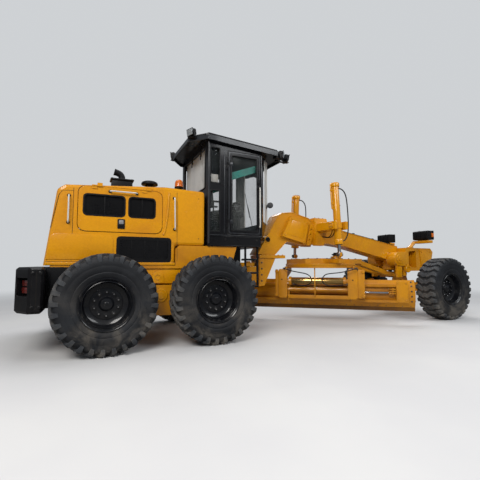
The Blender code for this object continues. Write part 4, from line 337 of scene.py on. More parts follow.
class Shape:
    def __init__(self, name, body, material, turn=TO_WORLD, smooth=34.0, replaces=()):
        self.name, self.body, self.material, self.turn = name, body, material, turn
        self.smooth, self.replaces = smooth, replaces
        self.bm = bmesh.new()
        MADE.append(self)

    def solid(self, points, faces):
        verts = [self.bm.verts.new(self.turn @ Vector(point)) for point in points]
        made = [self.bm.faces.new([verts[i] for i in face]) for face in faces]
        bmesh.ops.recalc_face_normals(self.bm, faces=made)
        return verts, made

    def rounded(self, made, width):
        edges = [
            edge
            for edge in dict.fromkeys(
                edge
                for face in made for edge in face.edges
            ) if edge.calc_face_angle(0) > SHARP
        ]
        bmesh.ops.bevel(
            self.bm, geom=edges, offset=width, segments=2, affect="EDGES", profile=0.6, clamp_overlap=True
        )

    def block(self, x, y, z, edge=0.003, turn=None):
        points = [(a, b, c) for a in sorted(x) for b in sorted(y) for c in sorted(z)]
        if turn:
            points = [turn @ Vector(point) for point in points]
        faces = [(0, 1, 3, 2), (4, 6, 7, 5), (0, 4, 5, 1), (2, 3, 7, 6), (0, 2, 6, 4), (1, 5, 7, 3)]
        made = self.solid(points, faces)[1]
        if edge:
            self.rounded(made, edge)

    def plate(self, plane, outline, low, high, edge=0.003):
        """An outline in a plane such as "XZ", drawn out along the third axis from low to high."""
        points = at_level(plane, outline, low) + at_level(plane, outline, high)
        count = len(outline)
        faces = [tuple(range(count)), tuple(range(count, 2 * count))]
        faces += [(i, (i + 1) % count, count + (i + 1) % count, count + i) for i in range(count)]
        made = self.solid(points, faces)[1]
        if edge:
            self.rounded(made, edge)

    def turned(self, centre, axis, profile, steps=32, closed=False):
        """A profile of (radius, height) turned about an axis; a radius of 0 ends on the axis."""
        axis = Vector(axis).normalized()
        across = axis.orthogonal().normalized()
        other = axis.cross(across)
        centre = Vector(centre)
        points, rows = [], []
        for radius, height in profile:
            row = []
            for i in range(1 if radius == 0 else steps):
                angle = 2 * math.pi * i / steps
                offset = across * math.cos(angle) + other * math.sin(angle)
                row.append(len(points))
                points.append(centre + axis * height + offset * radius)
            rows.append(row)
        faces = []
        pairs = list(zip(rows, rows[1:])) + ([(rows[-1], rows[0])] if closed else [])
        for low, high in pairs:
            for i in range(steps):
                quad = [
                    low[i % len(low)], low[(i + 1) % len(low)], high[(i + 1) % len(high)], high[i % len(high)]
                ]
                faces.append(tuple(dict.fromkeys(quad)))
        if not closed:
            faces += [tuple(row) for row in (rows[0], rows[-1]) if len(row) > 1]
        return self.solid(points, [face for face in faces if len(face) > 2])

    def pin(self, start, end, radius, sides=20, edge=0.003, end_radius=None):
        start, end = Vector(start), Vector(end)
        length = (end - start).length
        last = radius if end_radius is None else end_radius
        edge = min(edge, radius * 0.4, length * 0.3)
        profile = [(radius - edge, 0), (radius, edge), (last, length - edge), (last - edge, length)]
        self.turned(start, end - start, profile, sides)

    def bolt(self, spot, axis, across=0.024):
        """A washer, a hexagon head and the chamfer on it."""
        axis = Vector(axis).normalized()
        half = across / math.sqrt(3)
        self.turned(spot, axis, [(half * 1.35, -0.002), (half * 1.35, 0.003), (half * 1.25, 0.004)], 18)
        tall = across * 0.62
        self.turned(spot, axis, [(half, 0.003), (half, tall * 0.86), (half * 0.84, tall)], 6)

    def rivet(self, spot, axis, radius=0.008):
        self.turned(spot, axis, [(radius, -0.001), (radius * 0.8, radius * 0.35), (0, radius * 0.5)], 12)

    def pipe(self, points, radius, sides=12, steps=6):
        """A round pipe along a smooth curve through points; straight runs keep few rings."""
        points = [Vector(point) for point in points]
        path = smooth_path(points, steps) if len(points) > 2 else points
        side = (path[1] - path[0]).orthogonal().normalized()
        rings, verts = [], []
        for i, spot in enumerate(path):
            ahead = (path[min(i + 1, len(path) - 1)] - path[max(i - 1, 0)]).normalized()
            side = (side - ahead * side.dot(ahead)).normalized()
            other = ahead.cross(side)
            ring = []
            for k in range(sides):
                angle = 2 * math.pi * k / sides
                ring.append(len(verts))
                verts.append(spot + (side * math.cos(angle) + other * math.sin(angle)) * radius)
            rings.append(ring)
        faces = [tuple(rings[0]), tuple(rings[-1])]
        for low, high in zip(rings, rings[1:]):
            faces += [(low[k], low[(k + 1) % sides], high[(k + 1) % sides], high[k]) for k in range(sides)]
        self.solid(verts, faces)
        return path

    def make(self):
        mesh = bpy.data.meshes.new(self.name)
        self.bm.to_mesh(mesh)
        self.bm.free()
        mesh.shade_smooth()
        mesh.set_sharp_from_angle(angle=math.radians(self.smooth))
        mesh.materials.append(self.material)
        obj = bpy.data.objects.new(self.name, mesh)
        bpy.context.scene.collection.objects.link(obj)
        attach(obj, self.body)
        if self.replaces:
            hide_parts(*self.replaces)
        return obj


def at_level(plane, outline, level):
    """An outline's points in space: its plane is named by two letters, and level is the third coordinate."""
    if plane == "XY":
        return [(a, b, level) for a, b in outline]
    return [(a, level, b) for a, b in outline] if plane == "XZ" else [(level, a, b) for a, b in outline]


def smooth_path(points, steps):
    """Points of a smooth curve through the given ones."""
    ends = [points[0] * 2 - points[1], *points, points[-1] * 2 - points[-2]]
    path = []
    for a, b, c, d in zip(ends, ends[1:], ends[2:], ends[3:]):
        for i in range(steps):
            t = i / steps
            path.append(
                0.5 * (
                    2 * b + (c - a) * t + (
                        2 * a - 5 * b + 4 * c - d
                    ) * t * t + (3 * b - 3 * c + d - a) * t ** 3
                )
            )
    return path + [points[-1]]


HOSES = {}


def hose(name, body, points, diameter, turn=TO_WORLD):
    """A hose that hangs between two unions."""
    shape = Shape(name, body, HOSE, turn)
    path = shape.pipe(points, diameter / 2, 14, 5)
    HOSES[name] = ([turn @ spot for spot in path], diameter)


def arc(centre, radius, start, end, count=8):
    turns = (math.radians(start + (end - start) * i / count) for i in range(count + 1))
    return [(centre[0] + radius * math.cos(turn), centre[1] + radius * math.sin(turn)) for turn in turns]


def rounded_box(x, z, radius):
    """The outline of a rectangle with round corners."""
    (low_x, high_x), (low_z, high_z) = x, z
    left, right, bottom, top = low_x + radius, high_x - radius, low_z + radius, high_z - radius
    corners = ((right, top), (left, top), (left, bottom), (right, bottom))
    return [spot for k, corner in enumerate(corners) for spot in arc(corner, radius, 90 * k, 90 * k + 90, 5)]


def around(count, radius, first=0.0):
    """Offsets from a centre, spread evenly round a circle."""
    turns = [first + 2 * math.pi * k / count for k in range(count)]
    return [(radius * math.cos(turn), radius * math.sin(turn)) for turn in turns]


def about(middle, half):
    return middle - half, middle + half


def depth(skin, sign, inward, outward):
    """The span across a side's skin, on the side that sign names."""
    return skin - sign * inward, skin + sign * outward


def pair(sign, near, far):
    return sign * near, sign * far


# Tyres and rims
CARCASS = [
    (0.318, 0.15), (0.322, 0.182), (0.345, 0.186), (0.356, 0.19), (0.372, 0.2), (0.4, 0.2085),
    (0.416, 0.2105), (0.421, 0.2075), (0.427, 0.2075), (0.432, 0.2115), (0.47, 0.215), (0.505, 0.216),
    (0.512, 0.214), (0.519, 0.216), (0.56, 0.213), (0.59, 0.208), (0.612, 0.196), (0.63, 0.176), (0.64, 0.14),
    (0.645, 0.07), (0.646, 0)
]
BLOCK_LUG = [
    # across, outer radius, inner across, inner radius, half width, turn
    (0.004, 0.6725, 0.004, 0.63, 0.024, 1), (0.06, 0.6745, 0.06, 0.63, 0.027, 0.72),
    (0.12, 0.6735, 0.12, 0.63, 0.03, 0.34), (0.172, 0.669, 0.165, 0.625, 0.032, 0.1),
    (0.203, 0.656, 0.185, 0.612, 0.031, 0), (0.2185, 0.63, 0.196, 0.6, 0.028, 0),
    (0.2205, 0.595, 0.198, 0.585, 0.025, 0), (0.213, 0.565, 0.2, 0.562, 0.021, 0),
]
CHEVRON_LUG = [
    (0.002, 0.674, 0.002, 0.63, 0.043, 0.3), (0.045, 0.6745, 0.045, 0.63, 0.044, 0),
    (0.09, 0.6742, 0.09, 0.63, 0.046, 0.42), (0.135, 0.673, 0.132, 0.628, 0.046, 1),
    (0.176, 0.668, 0.168, 0.622, 0.044, 0.86), (0.204, 0.654, 0.186, 0.61, 0.04, 0.66),
    (0.218, 0.629, 0.196, 0.6, 0.033, 0.56), (0.2145, 0.605, 0.199, 0.59, 0.025, 0.5),
]
LUG_COUNT = 28
LUG_TURN = math.radians(13)
STUDS = 10
STUD_CIRCLE = 0.157
VALVE_CIRCLE = 0.27


def lug(shape, centre, sign, half, angle, table, lean):
    """One tread lug: a bar that slants from the crown to the shoulder and runs down it."""
    points, rows = [], []
    for across, outer, inner_across, inner, width, turn in table:
        theta = angle + lean * turn
        row = []
        for radius, reach, share in (
            (inner, inner_across, 1.12), (outer - 0.01, across - 0.001, 1.03), (outer, across, 0.82),
            (outer, across, -0.82), (outer - 0.01, across - 0.001, -1.03), (inner, inner_across, -1.12),
        ):
            spot = theta + share * width / radius
            row.append(len(points))
            points.append(
                (
                    centre[0] + radius * math.sin(spot), centre[1] + sign * half * reach,
                    centre[2] + radius * math.cos(spot)
                )
            )
        rows.append(row)
    faces = [tuple(rows[0]), tuple(rows[-1])]
    for low, high in zip(rows, rows[1:]):
        faces += [(low[i], low[(i + 1) % 6], high[(i + 1) % 6], high[i]) for i in range(6)]
    shape.solid(points, faces)


def tyre(place, side, sign, x, y):
    centre = (x, sign * y, WHEEL_RADIUS)
    shape = Shape(
        f"carcass_{place}_{side}", f"wheel_{place}_{side}", RUBBER, replaces=[f"tyre_{place}_{side}"]
    )
    profile = CARCASS + [(radius, -height) for radius, height in reversed(CARCASS[:-1])]
    shape.turned(centre, (0, 1, 0), profile, 96, closed=True)
    # The lugs take the paler tread rubber, painted light on their tops; the darker carcass between them is
    # painted shade.
    blocks = Shape(f"lugs_{place}_{side}", f"wheel_{place}_{side}", TREAD)
    table, offset, lean = (
        CHEVRON_LUG, 0, math.radians(5)
    ) if place == "front" else (BLOCK_LUG, 0.25, LUG_TURN)
    for k, half in product(range(LUG_COUNT), (1, -1)):
        angle = 2 * math.pi * (k + offset * half) / LUG_COUNT
        lug(blocks, centre, sign, half, angle, table, lean * (1 if place == "front" else half))


def rim(place, side, sign, x, y):
    centre = (x, sign * y, WHEEL_RADIUS)
    outward = (0, sign, 0)
    shape = Shape(
        f"wheel_disc_{place}_{side}", f"wheel_{place}_{side}", RIM_BLACK, replaces=[f"rim_{place}_{side}"]
    )
    profile = [
        (0, -0.02), (0.286, -0.02), (0.292, -0.15), (0.33, -0.19), (0.344, -0.201), (0.352, -0.196),
        (0.35, -0.186), (0.322, -0.184), (0.3172, -0.165), (0.3172, 0.16), (0.322, 0.1838), (0.349, 0.1845),
        (0.352, 0.19), (0.349, 0.2), (0.34, 0.201), (0.326, 0.192), (0.318, 0.176), (0.312, 0.172),
        (0.306, 0.178), (0.3, 0.18), (0.296, 0.172), (0.29, 0.11), (0.276, 0.07), (0.25, 0.052),
        (0.215, 0.044), (0.205, 0.048), (0.19, 0.05), (0.1, 0.05), (0.092, 0.056), (0.08, 0.078),
        (0.072, 0.086), (0.048, 0.09), (0, 0.093)
    ]
    shape.turned(centre, outward, profile, 72)
    shape.turned(centre, outward, [(0.03, 0.088), (0.03, 0.097), (0.025, 0.1), (0, 0.101)], 8)
    nuts = Shape(f"wheel_nuts_{place}_{side}", f"wheel_{place}_{side}", RIM_BLACK)
    studs = Shape(f"wheel_studs_{place}_{side}", f"wheel_{place}_{side}", STEEL)
    for up, ahead in around(STUDS, STUD_CIRCLE):
        nuts.bolt((x + ahead, sign * (y + 0.05), WHEEL_RADIUS + up), outward, 0.036)
        studs.pin(
            *((x + ahead, sign * (y + out), WHEEL_RADIUS + up) for out in (0.066, 0.084)), 0.0095, 10, 0.002
        )
    valve = (x + VALVE_CIRCLE * math.sin(0.4), sign * (y + 0.1), WHEEL_RADIUS + VALVE_CIRCLE * math.cos(0.4))
    nuts.pin(valve, (valve[0], valve[1] + sign * 0.05, valve[2] + 0.004), 0.007, 10)


for side, sign in SIDES:
    for place, x, y in (
        ("rear", -TANDEM_HALF, REAR_WHEEL_Y), ("middle", TANDEM_HALF, REAR_WHEEL_Y),
        ("front", WHEELBASE, FRONT_WHEEL_Y)
    ):
        tyre(place, side, sign, x, y)
        rim(place, side, sign, x, y)


# Hood, its doors and what stands on it
def grab(name, body, feet, reach, radius=0.011):
    """A pale tube handle that stands off between two black feet."""
    first, last = Vector(feet[0]), Vector(feet[1])
    reach = Vector(reach)
    along_tube = (last - first).normalized() * 0.035
    bar = Shape(name, body, PALE)
    bar.pipe(
        [
            first, first + reach * 0.6, first + reach + along_tube, (first + last) / 2 + reach,
            last + reach - along_tube, last + reach * 0.6, last
        ],
        radius, 12, 5
    )
    ends = Shape(name + "_feet", body, TRIM_BLACK)
    for foot in (first, last):
        ends.turned(
            foot, reach,
            [
                (radius * 2.1, -0.001), (radius * 2.1, 0.006), (radius * 1.5, 0.014), (radius * 1.25, 0.03),
                (radius * 1.05, 0.031)
            ],
            20
        )


def wire_screen(shape, x, y, z, pitch, wire):
    """Woven wire over an opening: upright and level wires a wire's width apart."""
    level, upright = y - wire * 0.5, y + wire * 0.5
    for i in range(int((x[1] - x[0]) / pitch) + 1):
        spot = x[0] + pitch * i
        shape.turned((spot, upright, z[0]), (0, 0, 1), [(wire, 0), (wire, z[1] - z[0])], 5)
    for i in range(int((z[1] - z[0]) / pitch) + 1):
        spot = z[0] + pitch * i
        shape.turned((x[0], level, spot), (1, 0, 0), [(wire, 0), (wire, x[1] - x[0])], 5)


def ring_plate(shape, plane, outer, inner, low, high):
    """A flat frame: the band between two outlines with the same number of points."""
    points = [
        spot
        for level in (low, high) for outline in (outer, inner) for spot in at_level(plane, outline, level)
    ]
    n = len(outer)
    faces = []
    for i in range(n):
        k = (i + 1) % n
        faces += [
            (i, k, n + k, n + i), (2 * n + i, 3 * n + i, 3 * n + k, 2 * n + k), (i, 2 * n + i, 2 * n + k, k),
            (n + i, n + k, 3 * n + k, 3 * n + i)
        ]
    shape.solid(points, faces)


VENTS = (((-1.1, -0.545), (1.91, 2.21)), ((-0.485, -0.1), (1.91, 2.21)))
for side, sign in SIDES:
    skin, door, door_body = sign * HALF_HOOD, sign * DOOR_SKIN, f"hood_door_{side}"
    seams = Shape(f"hood_seams_{side}", "chassis", SEAM)
    for outline in (
        [(-1.236, 1.25), (-1.23, 1.25), (-1.23, 2.285), (-1.236, 2.285)],
        [(0.257, 1.25), (0.263, 1.25), (0.249, 2.345), (0.243, 2.345)],
        [(-1.505, 1.7), (-1.499, 1.7), (-1.412, 2.17), (-1.418, 2.17)],
        [(-1.418, 2.17), (-1.412, 2.17), (-1.372, 2.232), (-1.376, 2.237)],
        [(-1.376, 2.232), (-1.236, 2.24), (-1.236, 2.245), (-1.376, 2.237)],
        [(-1.54, 1.238), (0.225, 1.238), (0.225, 1.243), (-1.54, 1.243)],
    ):
        seams.plate("XZ", outline, skin - sign * 0.002, skin + sign * 0.0007, 0)
    panel = Shape(f"hood_panels_{side}", "chassis", YELLOW)
    bent = [(-1.545, 1.27), (-1.512, 1.5)] + arc((-1.412, 1.53), 0.1, 180, 90, 8) + [
        (-0.78, 1.63), (-0.72, 1.61), (-0.69, 1.56), (-0.69, 1.27)
    ]
    panel.plate("XZ", bent, skin - sign * 0.004, skin + sign * 0.009, 0.006)
    panel.plate(
        "XZ", [(-1.55, 1.192), (0.222, 1.192), (0.222, 1.232), (-1.546, 1.232)], skin - sign * 0.01,
        skin + sign * 0.012, 0.005
    )
    panel.pipe(
        [
            (0.118, skin, 2.335), (0.112, skin + sign * 0.004, 2.2), (0.092, skin + sign * 0.004, 1.95),
            (0.062, skin + sign * 0.004, 1.74), (0.035, skin, 1.66)
        ],
        0.016, 10, 6
    )
    fixings = Shape(f"hood_fixings_{side}", "chassis", TRIM_BLACK)
    for x, z in ((0.61, 1.62), (0.61, 2.28)):
        fixings.rivet((x, skin, z), (0, sign, 0), 0.009)
    lower = Shape(f"side_screen_trim_{side}", "chassis", TRIM_BLACK)
    recess = skin - sign * 0.006
    ring_plate(
        lower, "XZ", rounded_box((-0.648, 0.165), (1.232, 1.618), 0.055),
        rounded_box((-0.6, 0.117), (1.28, 1.57), 0.03), recess, skin + sign * 0.004
    )
    for k in range(3):
        x = -0.43 + 0.19 * k
        lower.block(about(x, 0.006), (recess, recess + sign * 0.007), (1.285, 1.565), 0.002)
    for x, z in product((-0.62, -0.36, -0.1, 0.137), (1.256, 1.594)):
        lower.rivet((x, skin + sign * 0.004, z), (0, sign, 0), 0.009)
    wires = Shape(f"side_screen_wires_{side}", "chassis", TRIM_BLACK)
    wire_screen(wires, (-0.595, 0.112), recess + sign * 0.002, (1.285, 1.565), 0.026, 0.0024)

    frames = Shape(f"vent_frames_{side}", door_body, TRIM_BLACK)
    mesh = Shape(f"vent_wires_{side}", door_body, TRIM_BLACK)
    for x, z in VENTS:
        wide = rounded_box((x[0] - 0.012, x[1] + 0.012), (z[0] - 0.012, z[1] + 0.012), 0.06)
        clear = rounded_box((x[0] + 0.01, x[1] - 0.01), (z[0] + 0.01, z[1] - 0.01), 0.042)
        ring_plate(frames, "XZ", wide, clear, door - sign * 0.012, door + sign * 0.005)
        wire_screen(
            mesh, (x[0] + 0.008, x[1] - 0.008), door - sign * 0.016, (z[0] + 0.008, z[1] - 0.008), 0.02,
            0.0016
        )
        middle = (x[0] + x[1]) / 2
        frames.block(about(middle, 0.007), (door - sign * 0.022, door - sign * 0.012), z, 0.002)
    latch = Shape(f"hood_latch_{side}", door_body, TRIM_BLACK)
    latch.plate(
        "XZ", rounded_box((-0.642, -0.538), (1.728, 1.872), 0.012), door - sign * 0.002, door + sign * 0.012,
        0.004
    )
    latch.plate(
        "XZ", rounded_box((-0.615, -0.565), (1.765, 1.79), 0.008), door + sign * 0.01, door + sign * 0.022,
        0.003
    )
    plate_piece = Shape(f"latch_plate_{side}", door_body, PLATE_GREY)
    plate_piece.plate(
        "XZ", rounded_box((-0.622, -0.558), (1.796, 1.856), 0.006), door + sign * 0.008, door + sign * 0.015,
        0.002
    )
    plate_piece.turned(
        (-0.59, door + sign * 0.014, 1.822), (0, sign, 0),
        [(0.01, 0), (0.01, 0.004), (0.006, 0.006), (0, 0.006)], 16
    )
    grab(f"door_grab_{side}", door_body, ((-0.756, door, 2.272), (-0.375, door, 2.272)), (0, sign * 0.045, 0))
    grab(f"rear_grab_{side}", "chassis", ((-1.29, skin, 1.79), (-1.29, skin, 2.17)), (0, sign * 0.05, 0))
    grab(f"front_grab_{side}", "chassis", ((0.212, skin, 1.755), (0.2, skin, 2.255)), (0, sign * 0.05, 0))

crown = Shape("hood_crown_seams", "chassis", SEAM)
for x, z in ((0.078, 2.43), (-1.236, 2.337)):
    crown.block(about(x, 0.003), (-0.72, 0.72), (z - 0.004, z + 0.0008), 0)
crown_panels = Shape("hood_crown_panels", "chassis", YELLOW)
CROWN_SLOPE = Matrix.Translation((-1.15, 0, 2.3436)) @ Matrix.Rotation(-math.atan2(0.0813, 1.15), 4, "Y")
for side, sign in SIDES:
    crown_panels.block((0.02, 0.42), pair(sign, 0.46, 0.66), (-0.01, 0.009), 0.008, CROWN_SLOPE)

STACK, INTAKE, BEACON = (-0.55, -0.25), (-0.1, -0.25), (0.45, -0.1)
smoke = Shape("exhaust_stack", "chassis", TRIM_BLACK, replaces=["exhaust"])
smoke.turned(
    (*STACK, 2.3883), (0, 0, 1),
    [(0.13, 0), (0.13, 0.01), (0.124, 0.014), (0.098, 0.02), (0.078, 0.046), (0.066, 0.062), (0.06, 0.066)],
    48
)
path = smoke.pipe(
    [
        (*STACK, 2.52), (*STACK, 2.6), (-0.553, -0.25, 2.645), (-0.578, -0.25, 2.682), (-0.622, -0.25, 2.704),
        (-0.672, -0.25, 2.716)
    ],
    0.052, 28, 7
)
mouth, ahead = path[-1], (path[-1] - path[-2]).normalized()
smoke.turned(
    mouth - ahead * 0.02, ahead,
    [(0.053, 0), (0.0565, 0.004), (0.0565, 0.018), (0.049, 0.02), (0.046, 0.004), (0, 0.003)], 28
)
smoke.block((-0.71, -0.39), (-0.36, -0.14), (2.386, 2.566), 0.018)
smoke.block((-0.73, -0.37), (-0.38, -0.12), (2.564, 2.59), 0.008)
smoke.turned(
    (*STACK, 2.586), (0, 0, 1), [(0.088, 0), (0.088, 0.01), (0.072, 0.022), (0.06, 0.026), (0.05, 0.028)], 36
)
for k in range(6):
    smoke.bolt(
        (STACK[0] + 0.15 * (1 if k % 2 else -1), STACK[1] + 0.045 * (k // 2 * 2 - 2), 2.59), (0, 0, 1), 0.018
    )
intake = Shape("air_intake", "chassis", TRIM_BLACK, replaces=["air_cleaner"])
intake.turned(
    (*INTAKE, 2.4193), (0, 0, 1),
    [
        (0.088, 0), (0.088, 0.006), (0.07, 0.014), (0.066, 0.124), (0.074, 0.13), (0.134, 0.133),
        (0.138, 0.142), (0.135, 0.164), (0.122, 0.182), (0.096, 0.194), (0.05, 0.201), (0, 0.202)
    ],
    48
)
for a, b in around(14, 0.068):
    spot = Vector((INTAKE[0] + a, INTAKE[1] + b, 2.44))
    intake.pin(spot, spot + Vector((0, 0, 0.108)), 0.004, 6, 0.001)
beacon_base = Shape("beacon_base", "chassis", TRIM_BLACK)
beacon_base.turned(
    (*BEACON, 2.4177), (0, 0, 1),
    [
        (0.0632, 0), (0.0632, 0.02), (0.058, 0.026), (0.024, 0.03), (0.018, 0.036), (0.018, 0.15),
        (0.024, 0.156), (0.07, 0.162), (0.08, 0.168), (0.08, 0.186), (0.07, 0.192)
    ],
    40
)
dome = Shape("beacon_dome", "chassis", AMBER, replaces=["beacon"])
dome.turned(
    (*BEACON, 2.6077), (0, 0, 1),
    [
        (0.066, 0), (0.077, 0.004), (0.0765, 0.03), (0.0745, 0.034), (0.0765, 0.038), (0.0745, 0.06),
        (0.072, 0.064), (0.0745, 0.068), (0.069, 0.096), (0.056, 0.118), (0.034, 0.132), (0, 0.136)
    ],
    40
)

# Rear end
tail = Shape("weight_seams", "chassis", SEAM)
bolts = Shape("weight_bolts", "chassis", BLACK)
lamps = Shape("tail_lamps", "chassis", RED)
housings = Shape("tail_lamp_housings", "chassis", TRIM_BLACK)
for side, sign in SIDES:
    tail.plate(
        "XZ", [(-1.6, 0.62), (-1.596, 0.62), (-1.596, 1.12), (-1.6, 1.12)], sign * 1.098, sign * 1.1006, 0
    )
    corner = Vector((-1.77, sign * 0.975, 0.915))
    outward = Vector((-0.25, sign * 0.18, 0)).normalized()
    across = Vector((0.18, sign * 0.25, 0)).normalized()
    deep = corner - outward * 0.098
    turn = Matrix.Translation(deep) @ Matrix((across, outward, Vector((0, 0, 1)))).transposed().to_4x4()
    housings.block((-0.112, 0.112), (0, 0.03), (-0.105, 0.105), 0.012, turn)
    for k, low in ((0, -0.085), (1, 0.008)):
        lamps.block((-0.085, 0.085), (0.026, 0.052), (low, low + 0.077), 0.012, turn)
    for z, x in product((0.66, 1.09), (-1.56, -1.64)):
        bolts.bolt((x, sign * 1.1, z), (0, sign, 0), 0.028)
    for y, z in product((0.3, 0.62), (0.68, 1.06)):
        bolts.bolt((-1.86, sign * y, z), (-1, 0, 0), 0.034)
tail.block((-1.8607, -1.855), (-0.003, 0.003), (0.63, 1.12), 0)

for side, sign in SIDES:
    shield = Shape(f"tail_shield_{side}", "chassis", BLACK)
    shield.block((-1.535, -1.1), pair(sign, 0.834, 0.852), (0.62, 1.165), 0.006)
    skirt = Shape(f"frame_skirt_{side}", "chassis", YELLOW)
    skirt.block((-0.48, 0.46), pair(sign, 0.738, 0.756), (0.905, 1.186), 0.005)
    skirt.plate(
        "XZ", arc((-0.035, 1.01), 0.088, 0, 180, 14) + [(-0.135, 0.915), (0.065, 0.915)], sign * 0.754,
        sign * 0.78, 0.005
    )
    skirt.turned(
        (-0.035, sign * 0.78, 1.01), (0, sign, 0),
        [(0.048, -0.002), (0.048, 0.006), (0.034, 0.008), (0.03, -0.01), (0, -0.01)], 28
    )
    for x, z in product((-0.4, 0.36), (0.95, 1.14)):
        skirt.bolt((x, sign * 0.756, z), (0, sign, 0), 0.026)
    skirt.turned(
        (0.013, sign * 0.8, 0.73), (0, sign, 0),
        [
            (0.105, -0.08), (0.105, 0.01), (0.094, 0.02), (0.062, 0.02), (0.056, 0.032), (0.03, 0.034),
            (0, 0.034)
        ],
        36
    )

# Cab: roof, windows, doors, lamps and what is inside
CAB_SIDE = 0.8
STEP_TOP, STEP_RISE = 0.83, 0.235
ROOF_TURN = Matrix.Translation((0, 0, 3.3897)) @ Matrix.Rotation(math.atan2(0.1, 1.28), 4, "Y")


def window_seal(name, body, plane, x, z, low, high, corner=0.022, width=0.011):
    seal = Shape(name, body, HOSE)
    (left, right), (bottom, top) = x, z
    ring_plate(
        seal, plane, rounded_box((left - 0.004, right + 0.004), (bottom - 0.004, top + 0.004), corner),
        rounded_box((left + width, right - width), (bottom + width, top - width), corner * 0.7), low, high
    )


def work_lamp(name, spot, ahead):
    """A square work lamp: finned housing, bezel, ribbed lens and a yoke."""
    wide, tall = 0.085, 0.062
    ahead = Vector(ahead).normalized()
    up = Vector((0, 0, 1))
    across = up.cross(ahead).normalized()
    up = ahead.cross(across)
    turn = Matrix.Translation(Vector(spot)) @ Matrix((ahead, across, up)).transposed().to_4x4()
    housing = Shape(name + "_housing", "chassis", TRIM_BLACK)
    housing.block((-0.052, 0.02), (-wide * 0.86, wide * 0.86), (-tall * 0.86, tall * 0.86), 0.014, turn)
    for k in range(5):
        y = wide * (-0.64 + 0.32 * k)
        housing.block((-0.066, -0.048), about(y, 0.004), (-tall * 0.7, tall * 0.7), 0.001, turn)
    for y in (-wide, wide):
        housing.block((-0.016, 0.016), (y * 0.88, y * 1.1), (-tall * 1.32, 0.014), 0.003, turn)
        housing.pin(turn @ Vector((0, y * 1.06, 0)), turn @ Vector((0, y * 1.22, 0)), 0.011, 14)
    housing.block((-0.02, 0.02), (-wide * 1.1, wide * 1.1), (-tall * 1.42, -tall * 1.28), 0.003, turn)
    bezel = Shape(name + "_bezel", "chassis", BLACK)
    bezel.block((0.014, 0.03), (-wide, wide), (-tall, tall), 0.009, turn)
    lens = Shape(name + "_lens", "chassis", LAMP)
    lens.block((0.02, 0.035), (-wide * 0.86, wide * 0.86), (-tall * 0.82, tall * 0.82), 0.006, turn)
    for k in range(7):
        y = wide * (-0.72 + 0.24 * k)
        lens.pin(
            turn @ Vector((0.034, y, -tall * 0.7)), turn @ Vector((0.034, y, tall * 0.7)), 0.004, 8, 0.001
        )


roof = Shape("roof_pressing", "chassis", BLACK)
roof.block((0.66, 2.06), (-0.7, 0.7), (0.066, 0.088), 0.014, ROOF_TURN)
for k in range(5):
    y = -0.52 + 0.26 * k
    roof.block((0.74, 1.98), about(y, 0.035), (0.084, 0.097), 0.008, ROOF_TURN)
lining = Shape("roof_lining", "chassis", TRIM_BLACK)
lining.block((0.82, 1.96), (-0.66, 0.66), (-0.085, -0.064), 0.01, ROOF_TURN)
edge_trim = Shape("roof_edge", "chassis", TRIM_BLACK)
for side, sign in SIDES:
    edge_trim.block((0.73, 2.09), pair(sign, 0.862, 0.88), (0.01, 0.03), 0.004, ROOF_TURN)
    for x in (0.8, 1.22, 1.64, 2.02):
        edge_trim.bolt(ROOF_TURN @ Vector((x, sign * 0.8, 0.0745)), (0.078, 0, 1), 0.02)
edge_trim.block((2.292, 2.312), (-0.585, 0.585), (0.008, 0.034), 0.005, ROOF_TURN)
edge_trim.block((0.488, 0.508), (-0.535, 0.535), (0.008, 0.034), 0.005, ROOF_TURN)
# The roof fascia is drawn in the painted sheen grey: a painted sheen on its face.
fascia = Shape("roof_fascia", "chassis", PAINTED_SHEEN, TO_WORLD @ ROOF_TURN)


def roof_outline(spread):
    side_line = [
        (0.492 - spread, 0.54 + spread * 0.4), (0.733, 0.872 + spread), (2.088, 0.872 + spread),
        (2.308 + spread, 0.59 + spread * 0.4)
    ]
    return side_line + [(x, -y) for x, y in reversed(side_line)]


